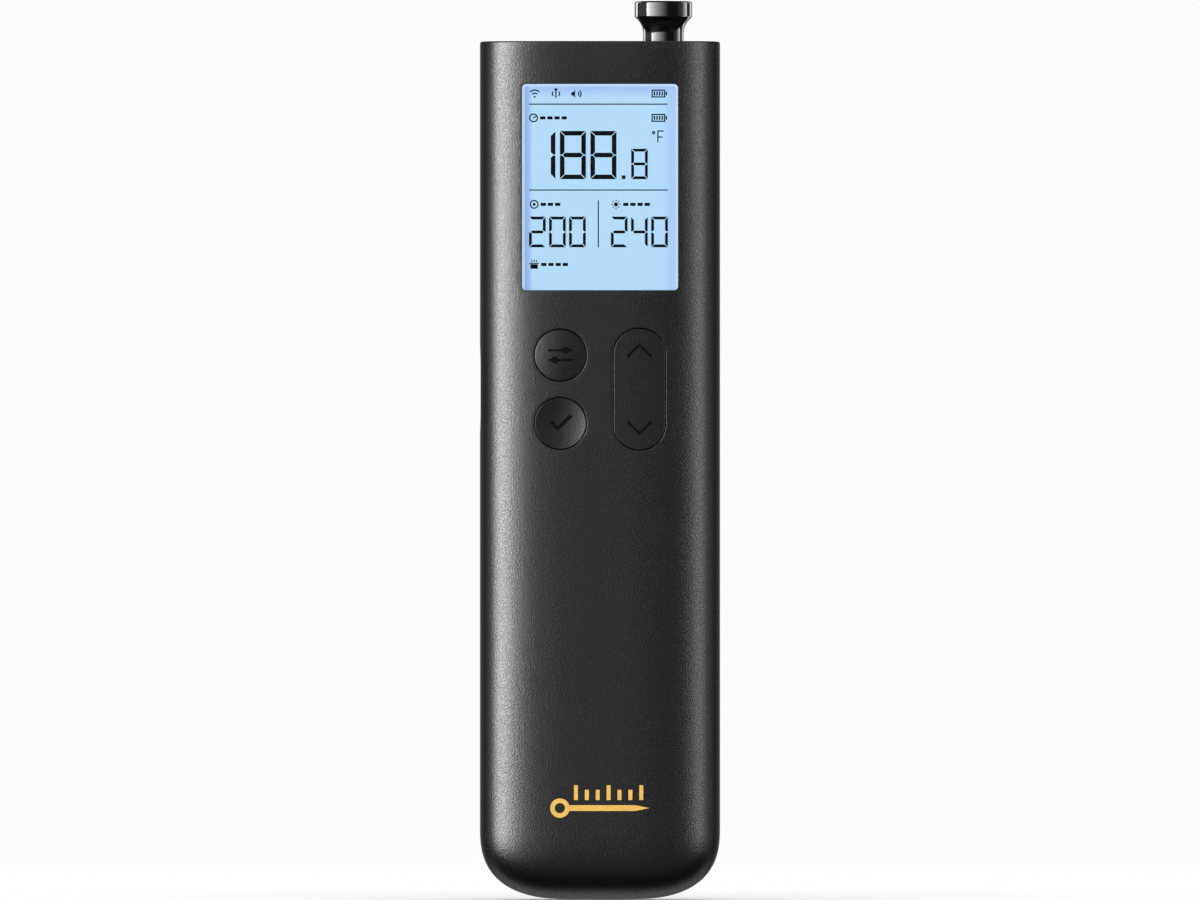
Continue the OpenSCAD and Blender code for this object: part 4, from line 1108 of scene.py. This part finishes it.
def floor():
    """Pale floor that takes the object's shadow and turns to plain paper further off."""
    data = bpy.data.meshes.new("floor")
    r, z = 40.0, cad_low.z - 0.0002
    data.from_pydata([(-r, -r, z), (r, -r, z), (r, r, z), (-r, r, z)], [], [(0, 1, 2, 3)])
    obj = bpy.data.objects.new("floor", data)
    scene.collection.objects.link(obj)
    mat = bpy.data.materials.new("floor")
    mat.use_nodes = True
    tree = mat.node_tree
    shader = tree.nodes["Principled BSDF"]
    put(shader, {"Base Color": (0.58, 0.58, 0.58, 1), "Roughness": 0.9,
                 "Specular IOR Level": 0.1})
    coords = tree.nodes.new("ShaderNodeTexCoord")
    length = tree.nodes.new("ShaderNodeVectorMath")
    length.operation = "LENGTH"
    tree.links.new(coords.outputs["Object"], length.inputs[0])
    far = spread(tree, length.outputs["Value"], 0, 1, 0.12, 0.6, smooth=True)
    glow = tree.nodes.new("ShaderNodeEmission")
    put(glow, {"Strength": PAPER})
    mix = blend(tree, far, shader.outputs[0], glow.outputs[0])
    tree.links.new(mix, tree.nodes["Material Output"].inputs["Surface"])
    data.materials.append(mat)
    obj.visible_glossy = False
    obj.visible_diffuse = False


def softbox(name, azimuth, height, distance, width, tall, power, diffuse=False, fade=None,
            head=False):
    """An area light round the object, aimed at its middle. Azimuth 0 is the camera's side.
    With fade, a power, it dims from its right edge to its left, or the other way if fade is
    below 0. Head lights reach the probe's head alone, and the others all but that and the
    window, which stays free of glare."""
    light = bpy.data.lights.new(name, "AREA")
    light.shape = "RECTANGLE"
    light.size, light.size_y = width, tall
    light.energy = power
    obj = bpy.data.objects.new(name, light)
    a = math.radians(azimuth)
    obj.location = (distance * math.sin(a), -distance * math.cos(a), height)
    obj.rotation_mode = "QUATERNION"
    obj.rotation_quaternion = (Vector((0, 0, 0)) - Vector(obj.location)).to_track_quat("-Z", "Y")
    obj.visible_camera = False
    obj.visible_diffuse = diffuse
    scene.collection.objects.link(obj)
    if fade:
        light.use_nodes = True
        tree = light.node_tree
        across = tree.nodes.new("ShaderNodeNewGeometry")
        parts = tree.nodes.new("ShaderNodeSeparateXYZ")
        tree.links.new(across.outputs["Parametric"], parts.inputs["Vector"])
        side = spread(tree, parts.outputs[0], *((0, 1) if fade > 0 else (1, 0)), 0, 1)
        curve = compute(tree, "POWER", side, abs(fade))
        tree.links.new(curve, tree.nodes["Emission"].inputs["Strength"])
    reach = bpy.data.collections.new(name + "_reach")
    listed = ["probe_handle"] if head else ["probe_handle", "window_lens"]
    for index, piece in enumerate(listed):
        reach.objects.link(bpy.data.objects[piece])
        linking = reach.collection_objects[index].light_linking
        linking.link_state = "INCLUDE" if head else "EXCLUDE"
    obj.light_linking.receiver_collection = reach


def world():
    """Pale paper to the camera. To the object it is a dim studio with a white wall behind."""
    w = bpy.data.worlds.new("studio")
    scene.world = w
    w.use_nodes = True
    tree = w.node_tree
    tree.nodes.clear()
    coords = tree.nodes.new("ShaderNodeTexCoord")
    parts = tree.nodes.new("ShaderNodeSeparateXYZ")
    tree.links.new(coords.outputs["Generated"], parts.inputs["Vector"])

    def ease(axis, start, end, low, high):
        """Goes smoothly from low to high as a direction's X, Y or Z goes from start to end."""
        return spread(tree, parts.outputs[axis], low, high, start, end, smooth=True)

    def background(strength):
        node = tree.nodes.new("ShaderNodeBackground")
        put(node, {"Color": (1, 1, 1, 1)})
        if isinstance(strength, float):
            put(node, {"Strength": strength})
        else:
            tree.links.new(strength, node.inputs["Strength"])
        return node.outputs[0]

    walls = largest(tree, ease("X", 0.8, 1, 0, SIDE_GLOW), ease("X", -0.8, -1, 0, SIDE_GLOW),
                    ease("Y", 0.55, 0.97, 0, WALL_GLOW))
    walls = compute(tree, "MULTIPLY", walls, ease("Z", -0.5, -0.1, 0, 1))
    behind = compute(tree, "MULTIPLY", ease("Z", -0.2, -0.6, 0, 1),
                     ease("Y", 0.22, 0.8, 0, PAPER_BELOW))
    front = compute(tree, "MULTIPLY", ease("Z", -0.15, -0.5, 0, 1),
                    ease("Y", -0.75, -0.2, FRONT_BELOW, 0))
    room = ease("Z", -0.85, -0.25, GLOSS_LOW, GLOSS_ROOM)
    studio = largest(tree, room, walls, behind, front)
    path = tree.nodes.new("ShaderNodeLightPath")
    shade = background(ease("Z", -0.35, 0.25, ROOM_LOW, ROOM))
    for ray, strength in (("Is Glossy Ray", studio), ("Is Camera Ray", PAPER)):
        shade = blend(tree, path.outputs[ray], shade, background(strength))
    out = tree.nodes.new("ShaderNodeOutputWorld")
    tree.links.new(shade, out.inputs["Surface"])


floor()
world()
# Name, azimuth, height and distance, then the light's own width, height and power
softbox("key_light", -53, 0.25, 1.1, 0.8, 1.2, 26.5)
softbox("key_edge", -24, 0.1, 1.3, 0.5, 1.5, 1.5)
softbox("fill_light", 56, 0.25, 1.2, 0.6, 1.2, 5.4)
softbox("top_light", -10, 1.4, 0.25, 0.9, 0.9, 2.5, diffuse=True)
softbox("head_left", -22, 0.1, 1.0, 2.2, 1.5, 150, fade=-2.3, head=True)
softbox("head_right", 92, 0.1, 1.0, 0.5, 1.5, 13, fade=1.5, head=True)
softbox("head_rim_left", -132, 0.1, 1.0, 0.26, 1.5, 4.5, head=True)
softbox("head_rim_right", 137, 0.1, 1.0, 0.28, 1.5, 2.4, head=True)

# Camera: straight on, and far enough off to show no perspective
VIEW_WIDTH, SENSOR_WIDTH, EYE_HEIGHT = 0.210, 36, 0.0786
camera_data = bpy.data.cameras.new("camera")
camera_data.lens = 800
camera = bpy.data.objects.new("camera", camera_data)
scene.collection.objects.link(camera)
distance = VIEW_WIDTH / SENSOR_WIDTH * camera_data.lens
camera.location = (0, ORIGIN[1] - distance, ORIGIN[2] + EYE_HEIGHT)
camera.rotation_euler = (math.pi / 2, 0, 0)
scene.camera = camera
